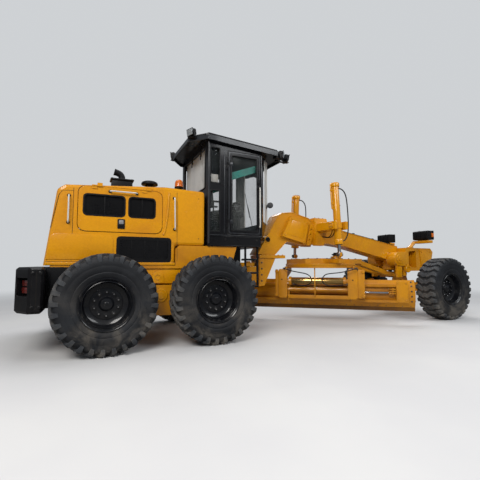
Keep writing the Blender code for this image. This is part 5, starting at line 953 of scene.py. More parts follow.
ring_plate(fascia, "XY", roof_outline(0.01), roof_outline(-0.006), -0.04, 0.036)
brackets = Shape("lamp_brackets", "chassis", TRIM_BLACK)
for side, sign in SIDES:
    work_lamp(f"rear_lamp_{side}", (0.5, sign * 0.665, 3.435), (-1, sign * 0.35, -0.18))
    brackets.block((0.47, 0.66), pair(sign, 0.625, 0.705), (3.34, 3.349), 0.003)
    brackets.block((0.65, 0.66), pair(sign, 0.625, 0.705), (3.332, 3.349), 0.003)
    work_lamp(f"front_lamp_{side}", (2.455, sign * 0.58, 3.285), (1, sign * 0.1, -0.2))
    brackets.block((2.22, 2.5), pair(sign, 0.54, 0.62), (3.19, 3.199), 0.003)
    brackets.block((2.215, 2.225), pair(sign, 0.54, 0.62), (3.19, 3.222), 0.003)
    work_lamp(f"side_lamp_{side}", (2.235, sign * 0.775, 3.265), (0.8, sign * 0.6, -0.18))
    brackets.block((2.1, 2.25), pair(sign, 0.7, 0.78), (3.178, 3.187), 0.003)
    brackets.block((2.085, 2.11), pair(sign, 0.7, 0.78), (3.178, 3.232), 0.003)
    skin = sign * CAB_SIDE
    for label, z in (("low", (1.75, 2.46)), ("high", (2.58, 3.2))):
        window_seal(
            f"quarter_seal_{label}_{side}", "chassis", "XZ", (0.8, 0.98), z, skin - sign * 0.016,
            skin + sign * 0.004
        )
    door = f"cab_door_{side}"
    window_seal(
        f"door_seal_{side}", door, "XZ", (1.183, 1.697), (1.78, 3.107), skin - sign * 0.014,
        skin + sign * 0.0045, 0.035, 0.014
    )
    # The door frame is drawn in the painted sheen grey: a painted highlight along its edges.
    rim_trim = Shape(f"door_pressing_{side}", door, PAINTED_SHEEN)
    ring_plate(
        rim_trim, "XZ", rounded_box((1.134, 1.746), (1.726, 3.154), 0.045),
        rounded_box((1.152, 1.728), (1.744, 3.136), 0.035), skin - sign * 0.004, skin + sign * 0.006
    )
    for z in (1.9, 2.9):
        rim_trim.block((1.14, 1.214), depth(skin, sign, 0.002, 0.009), (z + 0.008, z + 0.066), 0.003)
        for x in (1.164, 1.196):
            rim_trim.bolt((x, skin + sign * 0.009, z + 0.037), (0, sign, 0), 0.013)
    handle = Shape(f"door_handle_{side}", door, TRIM_BLACK)
    handle.plate("XZ", rounded_box((1.7, 1.742), (2.615, 2.735), 0.014), skin, skin + sign * 0.012, 0.003)
    handle.turned(
        (1.721, skin + sign * 0.012, 2.705), (0, sign, 0),
        [(0.013, -0.004), (0.013, 0.004), (0.006, 0.006), (0, 0.006)], 18
    )
    handle.turned(
        (1.721, skin + sign * 0.012, 2.655), (0, sign, 0),
        [(0.019, -0.004), (0.019, 0.01), (0.015, 0.014), (0, 0.015)], 24
    )
    grab(f"door_bar_{side}", door, ((1.724, skin, 1.86), (1.724, skin, 2.56)), (0, sign * 0.05, 0), 0.0125)
    # Corner posts, sill ledge and door post strips in the painted sheen grey: painted highlights along the
    # black cab edges.
    edges = Shape(f"cab_edges_{side}", "chassis", PAINTED_SHEEN)
    edges.pipe(
        [
            (0.778, skin - sign * 0.004, 1.55), (0.778, skin - sign * 0.004, 2.4),
            (0.778, skin - sign * 0.004, 3.285)
        ],
        0.019, 12, 2
    )
    edges.block((0.8, 1.79), depth(skin, sign, 0.003, 0.01), (1.688, 1.702), 0.003)
    for x in (1.058, 1.778):
        edges.block(about(x, 0.006), depth(skin, sign, 0.003, 0.005), (1.74, 3.16), 0.002)
    strip = Shape(f"nose_strip_{side}", "chassis", PALE)
    strip.plate(
        "XY", [(1.925, sign * 0.644), (2.037, sign * 0.509), (2.044, sign * 0.514), (1.932, sign * 0.65)],
        1.965, 3.165, 0.002
    )
    nose_trim = Shape(f"nose_trim_{side}", "chassis", PALE)
    nose_trim.plate(
        "XY", [(2.04, sign * 0.46), (2.07, sign * 0.462), (2.072, sign * 0.498), (2.036, sign * 0.512)], 1.96,
        3.17, 0.002
    )
    base = Shape(f"base_fixings_{side}", "chassis", BLACK)
    for x in (0.84, 1.08, 1.32, 1.68):
        base.bolt((x, skin, 1.625), (0, sign, 0), 0.022)
    base.block((0.765, 1.752), depth(skin, sign, 0.003, 0.006), (1.664, 1.678), 0.003)
    base.block((0.765, 1.752), depth(skin, sign, 0.003, 0.006), (1.508, 1.526), 0.003)
    for i in range(3):
        top = STEP_TOP + STEP_RISE * i
        for k in range(9):
            x = 1.478 + 0.0292 * k
            base.block(about(x, 0.005), pair(sign, 0.765, 0.625), (top - 0.002, top + 0.0045), 0.0015)
        for x in (1.475, 1.715):
            base.bolt((x, sign * 0.77, top - 0.015), (0, sign, 0), 0.014)
    sun = Shape(f"sun_strip_{side}", door, TEAL)
    sun.plate(
        "XZ", [(1.196, 2.665), (1.684, 2.86), (1.684, 2.985), (1.196, 2.8)], sign * 0.747, sign * 0.7445, 0
    )

mirror = Shape("mirror_housing", "chassis", TRIM_BLACK)
mirror.turned(
    (2.075, -0.6, 2.315), (-0.6, -0.8, 0),
    [(0, -0.03), (0.03, -0.027), (0.052, -0.012), (0.057, 0.004), (0.052, 0.009), (0, 0.007)], 28
)
mirror.pipe(
    [(2.03, -0.52, 2.29), (2.052, -0.545, 2.288), (2.07, -0.575, 2.3), (2.078, -0.592, 2.315)], 0.008, 10, 5
)
mirror.block((2.02, 2.046), (-0.54, -0.5), (2.26, 2.32), 0.004)
# The mirror glass is the painted sheen grey, which stands for its reflection.
mirror_glass = Shape("mirror_glass", "chassis", PAINTED_SHEEN)
mirror_glass.turned(
    (2.075, -0.6, 2.315), (-0.6, -0.8, 0), [(0.047, 0.006), (0.047, 0.0095), (0.03, 0.0105), (0, 0.011)], 28
)
window_seal("rear_seal", "chassis", "YZ", (-0.66, 0.66), (2.5, 3.24), 0.75, 0.776, 0.03, 0.016)
hooks = Shape("rear_clips", "chassis", TRIM_BLACK)
for y in (-0.42, 0.1):
    hooks.block((0.748, 0.768), about(y, 0.014), (3.12, 3.245), 0.004)
    hooks.block((0.742, 0.756), about(y, 0.008), (3.06, 3.14), 0.003)
card = Shape("window_cards", "chassis", CARD)
card.block((0.812, 0.968), (-0.729, -0.7265), (2.582, 2.745), 0)
card.block((0.832, 0.836), (0.02, 0.44), (2.505, 2.92), 0)
wiper = Shape("wiper", "chassis", TRIM_BLACK)
wiper.turned((1.986, 0, 1.955), (1, 0, 0), [(0.024, -0.01), (0.024, 0.016), (0.016, 0.022), (0, 0.023)], 20)
wiper.pipe([(2.002, 0, 1.958), (2.004, 0.04, 2.06), (2, 0.12, 2.26), (1.996, 0.2, 2.44)], 0.006, 8, 5)
wiper.pipe([(1.9915, 0.095, 2.16), (1.9915, 0.2, 2.43), (1.9915, 0.305, 2.7)], 0.0055, 8, 3)


# Seat: a sprung frame with padded cushions
def cushion(name, centre, size, lean, rows, channels):
    """A crowned pad: a box of fine quads whose sides pull in between its corners, with sewn channels."""
    half = [length / 2 for length in size]
    bm = bmesh.new()
    bmesh.ops.create_cube(bm, size=2)
    bmesh.ops.subdivide_edges(bm, edges=bm.edges[:], cuts=rows, use_grid_fill=True)
    for vert in bm.verts:
        u, v, w = vert.co
        round_off = 1 - 0.1 * (max(0, abs(u) - 0.72) / 0.28) ** 2 * (max(0, abs(v) - 0.72) / 0.28) ** 2
        pull = 1 - 0.022 * math.cos(v * math.pi / 2) * abs(u) ** 6
        draw = 1 - 0.022 * math.cos(u * math.pi / 2) * abs(v) ** 6
        crown = 1 - 0.42 * (abs(u) ** 5 + abs(v) ** 5 - abs(u) ** 5 * abs(v) ** 5)
        groove = sum(math.exp(-((v - spot) / 0.055) ** 2) for spot in channels) * 0.13 * (w > 0)
        vert.co = (
            u * half[0] * round_off * pull * (1 - 0.05 * abs(w) ** 3),
            v * half[1] * round_off * draw * (1 - 0.05 * abs(w) ** 3), w * half[2] * max(crown - groove, 0.35)
        )
    place = TO_WORLD @ Matrix.Translation(centre) @ Matrix.Rotation(lean, 4, "Y")
    bm.transform(place)
    mesh = bpy.data.meshes.new(name)
    bm.to_mesh(mesh)
    bm.free()
    mesh.shade_smooth()
    mesh.materials.append(VINYL)
    obj = bpy.data.objects.new(name, mesh)
    bpy.context.scene.collection.objects.link(obj)
    smooth = obj.modifiers.new("soft", "SUBSURF")
    smooth.levels = smooth.render_levels = 1
    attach(obj, "chassis")


cushion("seat_cushion", (1.255, 0, 2.17), (0.43, 0.47, 0.135), math.radians(-4), 15, (-0.45, 0, 0.45))
cushion("seat_back", (1.035, 0, 2.48), (0.44, 0.45, 0.125), math.radians(-97), 15, (-0.45, 0, 0.45))
cushion("head_rest", (1.005, 0, 2.755), (0.12, 0.26, 0.085), math.radians(-97), 9, ())
base = Shape("seat_base", "chassis", TRIM_BLACK, replaces=["seat"])
base.block((1.05, 1.44), (-0.215, 0.215), (2.075, 2.108), 0.01)
base.block((0.965, 0.99), (-0.2, 0.2), (2.1, 2.7), 0.01)
for k in range(8):
    z = 1.7 + 0.047 * k
    base.block(
        (1.11 - 0.006 * (k % 2), 1.38 + 0.006 * (k % 2)), (-0.16 - 0.006 * (k % 2), 0.16 + 0.006 * (k % 2)),
        (z, z + 0.046), 0.014
    )
base.block((1.07, 1.42), (-0.2, 0.2), (1.682, 1.705), 0.006)
for y in (-0.262, 0.262):
    base.block((1.02, 1.34), about(y, 0.03), (2.355, 2.385), 0.012)
    base.pin((1.06, y, 2.12), (1.06, y, 2.36), 0.014, 12)

# Steering column, wheel and lever banks
column = Shape("steering_column", "chassis", TRIM_BLACK, replaces=["console"])
column.plate(
    "XZ", [(1.55, 1.681), (1.69, 1.681), (1.665, 2.2), (1.64, 2.31), (1.505, 2.325), (1.5, 2.25)], -0.085,
    0.085, 0.014
)
column.plate("XZ", rounded_box((1.545, 1.66), (2.255, 2.33), 0.015), -0.14, 0.14, 0.008)
wheel_turn = Matrix.Translation((1.545, 0, 2.365)) @ Matrix.Rotation(math.radians(-14), 4, "Y")
wheel_up = wheel_turn.to_3x3() @ Vector((0, 0, 1))
column.pin(wheel_turn @ Vector((0, 0, -0.1)), wheel_turn.translation, 0.024, 18)
steering = Shape("steering_wheel", "chassis", VINYL)
tube = [(0.178 + a, b) for a, b in around(12, 0.0135)]
steering.turned(wheel_turn.translation, wheel_up, tube, 48, closed=True)
steering.turned(
    wheel_turn @ Vector((0, 0, -0.03)), wheel_up,
    [(0.04, 0), (0.046, 0.012), (0.04, 0.026), (0.022, 0.033), (0, 0.034)], 24
)
for inner, outer in zip(around(3, 0.035, 0.52), around(3, 0.174, 0.52)):
    steering.pin(wheel_turn @ Vector((*inner, -0.014)), wheel_turn @ Vector((*outer, 0)), 0.0095, 10)
steering.pin(
    wheel_turn @ Vector((0.126, 0.126, 0)), wheel_turn @ Vector((0.126, 0.126, 0.055)), 0.014, 14, 0.004
)
levers = Shape("lever_shafts", "chassis", STEEL)
knobs = Shape("lever_knobs", "chassis", VINYL)
for side, sign in SIDES:
    y = sign * 0.245
    knobs.block((1.52, 1.65), about(y, 0.095), (2.1, 2.19), 0.012)
    knobs.block((1.565, 1.61), about(y, 0.04), (1.682, 2.11), 0.01)
    for k in range(4):
        spot = Vector((1.585, y - 0.066 + 0.044 * k, 2.185))
        knobs.turned(spot, (0, 0, 1), [(0.017, -0.002), (0.015, 0.012), (0.009, 0.024), (0.006, 0.025)], 14)
        tip = spot + Vector((-0.055 - 0.006 * k, 0, 0.175))
        levers.pin(spot, tip, 0.0055, 10)
        knobs.turned(
            tip, tip - spot,
            [(0.006, -0.012), (0.012, -0.004), (0.017, 0.012), (0.016, 0.026), (0.009, 0.036), (0, 0.038)], 16
        )
levers.turned((1.6, 0, 2.335), (0, 0, 1), [(0.034, -0.002), (0.034, 0.006), (0.028, 0.009), (0, 0.008)], 24)
for k in (-1, 1):
    levers.turned(
        (1.605, 0.082 * k, 2.332), (0, 0, 1), [(0.026, -0.002), (0.026, 0.006), (0.021, 0.009), (0, 0.008)],
        20
    )
pedals = Shape("pedals", "chassis", IRON)
for y in (-0.2, 0.13, 0.22):
    pedals.block((1.7, 1.715), about(y, 0.035), (1.76, 1.86), 0.004, Matrix.Translation((0.03, 0, 0)))
    pedals.pin((1.745, y, 1.79), (1.79, y, 1.69), 0.008, 10)

# Front frame: neck, head, hinge flange and headlamps
COVER_SIDE, HEAD_SIDE, BAND_HALF = 0.26, 0.42, 0.179
neck = Shape("neck_flanges", "front_frame", YELLOW)
for down, along in (
    (
        0.016,
        [(2.031, 1.411), (2.512, 2.2115), (2.602, 2.2715), (2.851, 2.3015), (3.279, 2.2015), (3.34, 2.131)]
    ),
    (0.016, [(3.8, 2.131), (3.948, 2.0715), (4.299, 1.9415), (5.955, 1.6575)]),
    (0.0155, [(2.39, 1.374), (2.72, 1.694), (3.128, 1.634), (3.801, 1.674), (4.299, 1.624), (5.955, 1.27)])
):
    neck.plate("XZ", along + [(x, z - down) for x, z in reversed(along)], -BAND_HALF, BAND_HALF, 0.002)
for side, sign in SIDES:
    for x in (2.12, 2.22, 2.32, 2.5, 2.6):
        neck.bolt((x, sign * 0.188, 1.39), (0, 0, 1), 0.022)
    cover = sign * COVER_SIDE
    for x, z in ((2.635, 1.815), (2.8, 2.15), (3.18, 2.075), (3.085, 1.69)):
        neck.bolt((x, cover, z), (0, sign, 0), 0.026)
    neck.plate(
        "XZ", [(2.66, 1.83), (2.805, 2.12), (3.155, 2.055), (3.068, 1.735)], cover - sign * 0.002,
        cover + sign * 0.006, 0.004
    )
    head = sign * HEAD_SIDE
    cheek = [(5.965, 1.165), (5.965, 1.515)] + arc((5.742, 1.34), 0.165, 90, 270, 18)
    neck.plate("XZ", cheek, sign * 0.16, head, 0.01)
    neck.turned(
        (5.742, head, 1.34), (0, sign, 0),
        [(0.11, -0.01), (0.11, 0.01), (0.1, 0.018), (0.052, 0.018), (0.048, 0.03), (0, 0.031)], 40
    )
    neck.turned(
        (6.012, head, 1.1), (0, sign, 0),
        [(0.088, -0.04), (0.088, 0.016), (0.08, 0.026), (0.05, 0.026), (0.046, 0.012), (0, 0.012)], 36
    )
    neck.block((5.69, 5.85), pair(sign, 0.33, 0.395), (0.9, 1.22), 0.01)
    neck.plate(
        "XZ", [(6.5, 1.07), (6.438, 1.572), (6.845, 1.572), (6.9, 1.5), (6.815, 1.07)], head - sign * 0.002,
        head + sign * 0.02, 0.01
    )
    for x, z in ((6.53, 1.12), (6.49, 1.52), (6.82, 1.52), (6.77, 1.12)):
        neck.bolt((x, head + sign * 0.02, z), (0, sign, 0), 0.028)
    neck.plate(
        "XZ", [(3.374, 1.605), (3.388, 2.062), (3.715, 2.062), (3.64, 1.76), (3.592, 1.605)], sign * 0.171,
        sign * 0.285, 0.01
    )
    for k in range(3):
        x = 6.105 + 0.085 * k
        neck.block(about(x, 0.008), pair(sign, 0.262, 0.3), (1.19, 1.5), 0.003)
    neck.block((5.985, 6.045), pair(sign, 0.3, 0.36), (0.93, 1.06), 0.006)
    neck.bolt((6.015, sign * 0.36, 0.98), (0, sign, 0), 0.03)
    neck.block((2.075, 2.17), pair(sign, 0.168, 0.176), (0.8, 1.32), 0.004)
hub = Shape("neck_boss", "front_frame", BLACK)
bolts = Shape("frame_bolts", "front_frame", IRON)
for side, sign in SIDES:
    hub.turned(
        (2.259, sign * 0.184, 1.705), (0, sign, 0),
        [(0.052, 0), (0.052, 0.006), (0.046, 0.009), (0.036, 0.009), (0.034, -0.012), (0, -0.012)], 32
    )
    for k in range(4):
        bolts.bolt((2.122, sign * 0.176, 0.88 + 0.12 * k), (0, sign, 0), 0.024)
    pipes = Shape(f"beam_pipes_{side}", "front_frame", TRIM_BLACK)
    for offset in (0.085, 0.12):
        y = sign * offset
        pipes.pipe(
            [
                (3.86, y, 2.118), (4.05, y, 2.053), (4.3, y, 1.962), (4.85, y, 1.868), (5.45, y, 1.765),
                (5.9, y, 1.69)
            ],
            0.01, 10, 4
        )
    for x, z in ((4.1, 2.015), (4.6, 1.892), (5.2, 1.789), (5.75, 1.694)):
        pipes.block(about(x, 0.02), pair(sign, 0.068, 0.138), (z, z + 0.04), 0.006)
        pipes.bolt((x, sign * 0.1025, z + 0.038), (0, 0, 1), 0.013)
bolts.block((6.862, 6.9), (-0.3, 0.3), (1.16, 1.46), 0.01)
for y, z in product((-0.25, 0.25), (1.2, 1.42)):
    bolts.bolt((6.9, y, z), (1, 0, 0), 0.034)
bolts.turned((6.905, -0.05, 1.31), (0, 1, 0), [(0.03, 0), (0.034, 0.004), (0.034, 0.096), (0.03, 0.1)], 20)
for side, sign in SIDES:
    shell = Shape(f"headlamp_shell_{side}", "front_frame", TRIM_BLACK, replaces=[f"headlamp_{side}"])
    near, far = sign * 0.35, sign * 0.745
    shell.plate("XZ", rounded_box((6.315, 6.52), (1.802, 2.018), 0.035), near, far, 0.012)
    shell.plate(
        "XZ", rounded_box((6.5, 6.545), (1.8, 2.02), 0.03), near - sign * 0.004, far + sign * 0.004, 0.006
    )
    for y in (0.43, 0.55, 0.67):
        shell.block((6.306, 6.32), (sign * y - 0.018, sign * y + 0.018), (1.83, 1.99), 0.004)
    for x in (6.36, 6.46):
        shell.bolt((x, far, 1.91), (0, sign, 0), 0.018)
        shell.bolt((x, sign * 0.5, 2.018), (0, 0, 1), 0.016)
    lens = Shape(f"headlamp_lens_{side}", "front_frame", LAMP)
    for y in (0.455, 0.615):
        lens.turned(
            (6.543, sign * y, 1.91), (1, 0, 0),
            [(0.074, -0.004), (0.074, 0.004), (0.066, 0.009), (0.04, 0.014), (0, 0.016)], 36
        )
    flasher = Shape(f"flasher_{side}", "front_frame", AMBER)
    flasher.block((6.455, 6.52), depth(far, sign, 0.004, 0.022), (1.862, 1.958), 0.008)
    flasher.block((6.543, 6.556), pair(sign, 0.7, 0.738), (1.83, 1.99), 0.004)
    stay = Shape(f"headlamp_stay_{side}", "front_frame", YELLOW)
    stay.block((6.12, 6.26), pair(sign, 0.31, 0.41), (1.6105, 1.624), 0.004)
    for x, y in product((6.145, 6.235), (0.33, 0.39)):
        stay.bolt((x, sign * y, 1.624), (0, 0, 1), 0.016)
    turn = Matrix.Translation((6.19, sign * 0.36, 1.62)) @ Matrix.Rotation(math.radians(50), 4, "Y")
    stay.block((-0.016, 0.016), (-0.052, 0.052), (-0.01, 0.24), 0.005, turn)
    stay.block((6.34, 6.52), pair(sign, 0.345, 0.735), (1.722, 1.786), 0.01)
    for y in (0.42, 0.56):
        stay.pin((6.43, sign * y, 1.782), (6.43, sign * y, 1.806), 0.012, 12, 0.001)

# Lift saddle and its cylinders
saddle = Shape("saddle_fittings", "front_frame", YELLOW)
saddle_bolts = Shape("saddle_bolts", "front_frame", IRON)
for side, sign in SIDES:
    for x in (3.46, 3.57, 3.68):
        saddle_bolts.bolt((x, sign * 0.15, 2.21), (0, 0, 1), 0.026)
    saddle.block((3.415, 3.725), pair(sign, 0.235, 0.25), (1.925, 2.055), 0.004)
    for x, face in ((3.4, -1), (3.74, 1)):
        spot = (x, sign * 0.745, 1.99)
        saddle.turned(
            spot, (face, 0, 0),
            [(0.062, -0.002), (0.062, 0.014), (0.056, 0.02), (0.03, 0.02), (0.028, 0.028), (0, 0.029)], 28
        )
        for a, b in around(4, 0.044, math.pi / 4):
            saddle_bolts.bolt((x + face * 0.018, sign * 0.745 + a, 1.99 + b), (face, 0, 0), 0.014)
    for k in range(3):
        share = (k + 1) / 4
        x, z = 3.2 + 0.045 + share * 0.11, 1.61 + share * 0.46
        saddle.turned(
            (x, sign * 0.2003, z), (0, sign, 0),
            [(0.033, -0.001), (0.033, 0.005), (0.023, 0.005), (0.021, -0.001)], 24, closed=True
        )


LIFT_X, LIFT_EYE_Y, LIFT_EYE_Z = 3.57, 0.785, 1.405
LIFT_LEAN = 0.04 / 0.585


def lift_spot(sign, z, x=0, y=0):
    """A point beside a lift cylinder's leaning axis."""
    return Vector((LIFT_X + x, sign * (LIFT_EYE_Y - LIFT_LEAN * (z - LIFT_EYE_Z) + y), z))


for side, sign in SIDES:
    barrel = f"lift_barrel_{side}"
    axis = lift_spot(sign, 2) - lift_spot(sign, 1)
    bands = Shape(f"lift_bands_{side}", barrel, YELLOW, smooth=40)
    bands.turned(
        lift_spot(sign, 1.62), axis,
        [(0.0715, 0.06), (0.0725, 0.064), (0.0725, 1.176), (0.0715, 1.18), (0.069, 1.18), (0.069, 0.06)], 48,
        closed=True
    )
    bands.turned(
        lift_spot(sign, 2.8), axis,
        [
            (0.0885, -0.002), (0.09, 0.002), (0.09, 0.07), (0.084, 0.078), (0.03, 0.078), (0.028, 0.084),
            (0, 0.084)
        ],
        48
    )
    bands.turned(
        lift_spot(sign, 1.604), axis,
        [
            (0.0865, 0), (0.0885, 0.004), (0.0885, 0.104), (0.0825, 0.112), (0.07, 0.112), (0.06, 0.05),
            (0.045, 0)
        ],
        48, closed=True
    )
    bands.turned(
        lift_spot(sign, 1.93), axis,
        [(0.0885, -0.002), (0.092, 0.002), (0.092, 0.118), (0.0885, 0.122), (0.069, 0.122), (0.069, -0.002)],
        48, closed=True
    )
    ports = Shape(f"lift_ports_{side}", barrel, IRON)
    for z in (2.78, 1.68):
        ports.pin(lift_spot(sign, z, 0.062), lift_spot(sign, z, 0.1), 0.02, 6, 0.002)
        ports.pin(lift_spot(sign, z, 0.096), lift_spot(sign, z, 0.118), 0.015, 12, 0.002)
    for a, b in around(8, 0.062):
        ports.bolt(lift_spot(sign, 2.882, a, b), axis, 0.014)
    clamp = Shape(f"lift_clamp_{side}", barrel, TRIM_BLACK)
    clamp.block((3.635, 3.665), (sign * 0.715 - 0.016, sign * 0.715 + 0.016), (2.4, 2.43), 0.003)
    wiper = Shape(f"rod_wiper_{side}", barrel, TRIM_BLACK)
    wiper.turned(
        lift_spot(sign, 1.599), axis, [(0.062, 0), (0.062, 0.007), (0.04, 0.007), (0.04, 0)], 32, closed=True
    )
    eye = Shape(f"rod_eye_{side}", f"lift_rod_{side}", IRON)
    for face in (-1, 1):
        eye.turned(
            lift_spot(sign, LIFT_EYE_Z, face * 0.05), (face, 0, 0),
            [(0.04, -0.001), (0.04, 0.01), (0.034, 0.014), (0.012, 0.014), (0.01, 0.02), (0, 0.021)], 24
        )
    drop = [
        (2.78, 0.112), (2.772, 0.165), (2.735, 0.225), (2.665, 0.268), (2.56, 0.29), (2.4, 0.298),
        (2.2, 0.298), (2.03, 0.29), (1.875, 0.266), (1.765, 0.222), (1.7, 0.165), (1.68, 0.112)
    ]
    hose(f"lift_hose_{side}", barrel, [lift_spot(sign, z, x) for z, x in drop], 0.024)
    end_cap = Shape(f"rod_end_{side}", f"lift_rod_{side}", YELLOW)
    end_cap.turned(
        lift_spot(sign, 1.362), axis,
        [(0, 0), (0.045, 0), (0.055, 0.01), (0.056, 0.068), (0.046, 0.079), (0.037, 0.08), (0, 0.08)], 32
    )

for side, sign in SIDES:
    feed = Shape(f"lift_pipe_{side}", f"lift_barrel_{side}", YELLOW)
    feed.pipe(
        [
            lift_spot(sign, 2.845, -0.07), lift_spot(sign, 2.845, -0.104), lift_spot(sign, 2.8, -0.112),
            lift_spot(sign, 2.4, -0.112), lift_spot(sign, 2.34, -0.104), lift_spot(sign, 2.33, -0.066)
        ],
        0.015, 12, 5
    )
    for z in (2.72, 2.44):
        feed.pin(lift_spot(sign, z, -0.125), lift_spot(sign, z, -0.06), 0.021, 6, 0.002)
    for k, x in enumerate((3.55, 3.61)):
        dip = [
            (0.283, 1.8), (0.33, 1.792), (0.4, 1.775), (0.47, 1.772), (0.53, 1.79), (0.575, 1.83),
            (0.597, 1.875), (0.602, 1.91)
        ]
        hose(f"saddle_hose_{k + 1}_{side}", "front_frame", [(x, sign * y, z) for y, z in dip], 0.02)

# Drawbar: drive of the circle, guides and bolts
drive = Shape("circle_drive", "drawbar", WORK_YELLOW)
drive.turned(
    (4.16, 0, 1.3195), (0, 0, 1),
    [
        (0.135, 0), (0.135, 0.016), (0.12, 0.024), (0.112, 0.06), (0.1, 0.07), (0.066, 0.072), (0.066, 0.086),
        (0, 0.086)
    ],
    40
)
for a, b in around(8, 0.123):
    drive.bolt((4.16 + a, b, 1.336), (0, 0, 1), 0.018)
motor = Shape("drive_motor", "drawbar", TRIM_BLACK)
motor.turned(
    (4.16, 0, 1.404), (0, 0, 1),
    [(0.058, 0), (0.06, 0.004), (0.06, 0.05), (0.054, 0.056), (0.05, 0.07), (0, 0.072)], 32
)
for y in (-0.03, 0.03):
    motor.pin((4.08, y, 1.428), (4.115, y, 1.428), 0.016, 12, 0.002)
table_bolts = Shape("drawbar_bolts", "drawbar", IRON)
guides = Shape("drawbar_guides", "drawbar", WORK_YELLOW)
for side, sign in SIDES:
    for x, y in ((3.16, 0.3), (3.3, 0.42), (3.5, 0.49), (3.9, 0.49), (4.15, 0.42), (4.4, 0.36)):
        table_bolts.bolt((x, sign * y, 1.3203), (0, 0, 1), 0.028)
    guides.block((3.52, 3.62), pair(sign, 0.6, 0.74), (1.3085, 1.318), 0.003)
    guides.plate(
        "XY",
        [
            (3.22, sign * 0.2), (3.4, sign * 0.44), (3.48, sign * 0.47), (3.36, sign * 0.36),
            (3.3, sign * 0.18)
        ],
        1.3195, 1.332, 0.003
    )
    guides.pin((3.57, sign * 0.72, 1.309), (3.57, sign * 0.72, 1.35), 0.04, 20, 0.004, 0.03)
    guides.block((4.46, 4.62), pair(sign, 0.215, 0.345), (1.318, 1.328), 0.004)
table_bolts.turned(
    (3.7, 0, 1.3195), (0, 0, 1),
    [(0.362, 0), (0.4, 0), (0.4, 0.01), (0.396, 0.014), (0.366, 0.014), (0.362, 0.01)], 64, closed=True
)

# Circle: back plates, polished slide, rails and hoses
# Y and Z of the cross shafts, in the circle's own turned frame
PITCH_SHAFT = (-0.55, 0.69)
SLIDE = (-0.605, 0.86)
SHIFT_ROD = (-0.45, 0.64)
plates = Shape("circle_plates", "circle", WORK_YELLOW, turn=TO_CIRCLE)
for inner, outer, rim_x in ((-0.655, -0.836, -0.905), (0.548, 0.738, 0.872)):
    sign = math.copysign(1, inner)
    plates.plate(
        "XZ", rounded_box((min(inner, outer), max(inner, outer)), (0.512, 1.112), 0.045), -0.6355, -0.656,
        0.006
    )
    plates.plate(
        "XZ",
        rounded_box((min(outer + sign * 0.01, rim_x), max(outer + sign * 0.01, rim_x)), (0.53, 1.1), 0.012),
        -0.618, -0.642, 0.004
    )
    for z in (1.055, 0.575):
        plates.turned(
            (rim_x - sign * 0.03, -0.642, z), (0, -1, 0),
            [(0.034, -0.004), (0.034, 0.016), (0.028, 0.022), (0.014, 0.022), (0, 0.024)], 24
        )
    plates.turned(
        (sign * 0.7095, *PITCH_SHAFT), (sign, 0, 0),
        [(0.062, -0.001), (0.062, 0.012), (0.054, 0.018), (0.026, 0.018), (0, 0.02)], 28
    )
    plates.turned(
        (-0.598 if sign < 0 else 0.492, *SLIDE), (sign, 0, 0),
        [
            (0.088, -0.03), (0.092, -0.026), (0.092, 0.02), (0.084, 0.028), (0.05, 0.028), (0.05, 0.066),
            (0, 0.066)
        ],
        40
    )
plates.block((-0.64, 0.64), (-0.648, -0.622), (0.508, 0.58), 0.008)
plates.plate(
    "YZ", [(-0.648, 0.52), (-0.7, 0.6), (-0.7, 1.131), (-0.6, 1.131), (-0.6, 1.09), (-0.648, 0.96)], -0.1,
    -0.08, 0.003
)
for z in (1.131, 1.19):
    plates.turned(
        (0, 0, z), (0, 0, 1), [(0.751, 0), (0.757, 0.004), (0.757, 0.022), (0.7515, 0.026)], 96, closed=True
    )
for a, b in around(20, 0.75, math.pi / 20):
    plates.rivet((a, b, 1.173), (a, b, 0), 0.012)
# The slide tube's amber colour is a painted reflection of the yellow paint around it.
slide = Shape("slide_tube", "circle", SLIDE_REFLECTION, turn=TO_CIRCLE)
slide.turned((-0.585, *SLIDE), (1, 0, 0), [(0.076, 0), (0.078, 0.004), (0.078, 1.07), (0.076, 1.074)], 64)
dark = Shape("plate_holes", "circle", SEAM, turn=TO_CIRCLE)
for x in (-0.765, 0.645):
    dark.turned((x, -0.6558, 0.89), (0, -1, 0), [(0.015, 0), (0.015, 0.001), (0, 0.001)], 20)
unions = Shape("hose_unions", "circle", IRON, turn=TO_CIRCLE)
for sign in (-1, 1):
    unions.pin((sign * 0.715, -0.64, 1.118), (sign * 0.715, -0.668, 1.118), 0.022, 6, 0.002)
    unions.block(pair(sign, 0.685, 0.745), (-0.652, -0.6), (1.085, 1.14), 0.004)
for sign in (-1, 1):
    end = (sign * 0.535, -0.668, 0.8)
    unions.pin((sign * 0.505, -0.672, 0.8), end, 0.02, 6, 0.002)
    unions.pin(end, (end[0], -0.63, 0.815), 0.016, 12, 0.002)
for name, union, loop in (("rear", -0.715, -0.15), ("front", 0.715, 0.055)):
    s = math.copysign(1, union)
    run = [
        (union, -0.664, 1.118), (union - s * 0.004, -0.705, 1.118), (union - s * 0.03, -0.745, 1.112),
        (union - s * 0.08, -0.766, 1.1), (s * 0.52, -0.766, 1.066), (s * 0.38, -0.764, 1.04),
        (loop + s * 0.105, -0.76, 1.012), (loop + s * 0.03, -0.758, 0.962), (loop, -0.754, 0.895),
        (loop + s * 0.025, -0.748, 0.832), (loop + s * 0.09, -0.74, 0.79), (loop + s * 0.18, -0.73, 0.776),
        (loop + s * 0.26, -0.716, 0.78), (s * 0.508, -0.672, 0.8)
    ]
    hose(f"circle_hose_{name}", "circle", run, 0.02, TO_CIRCLE)

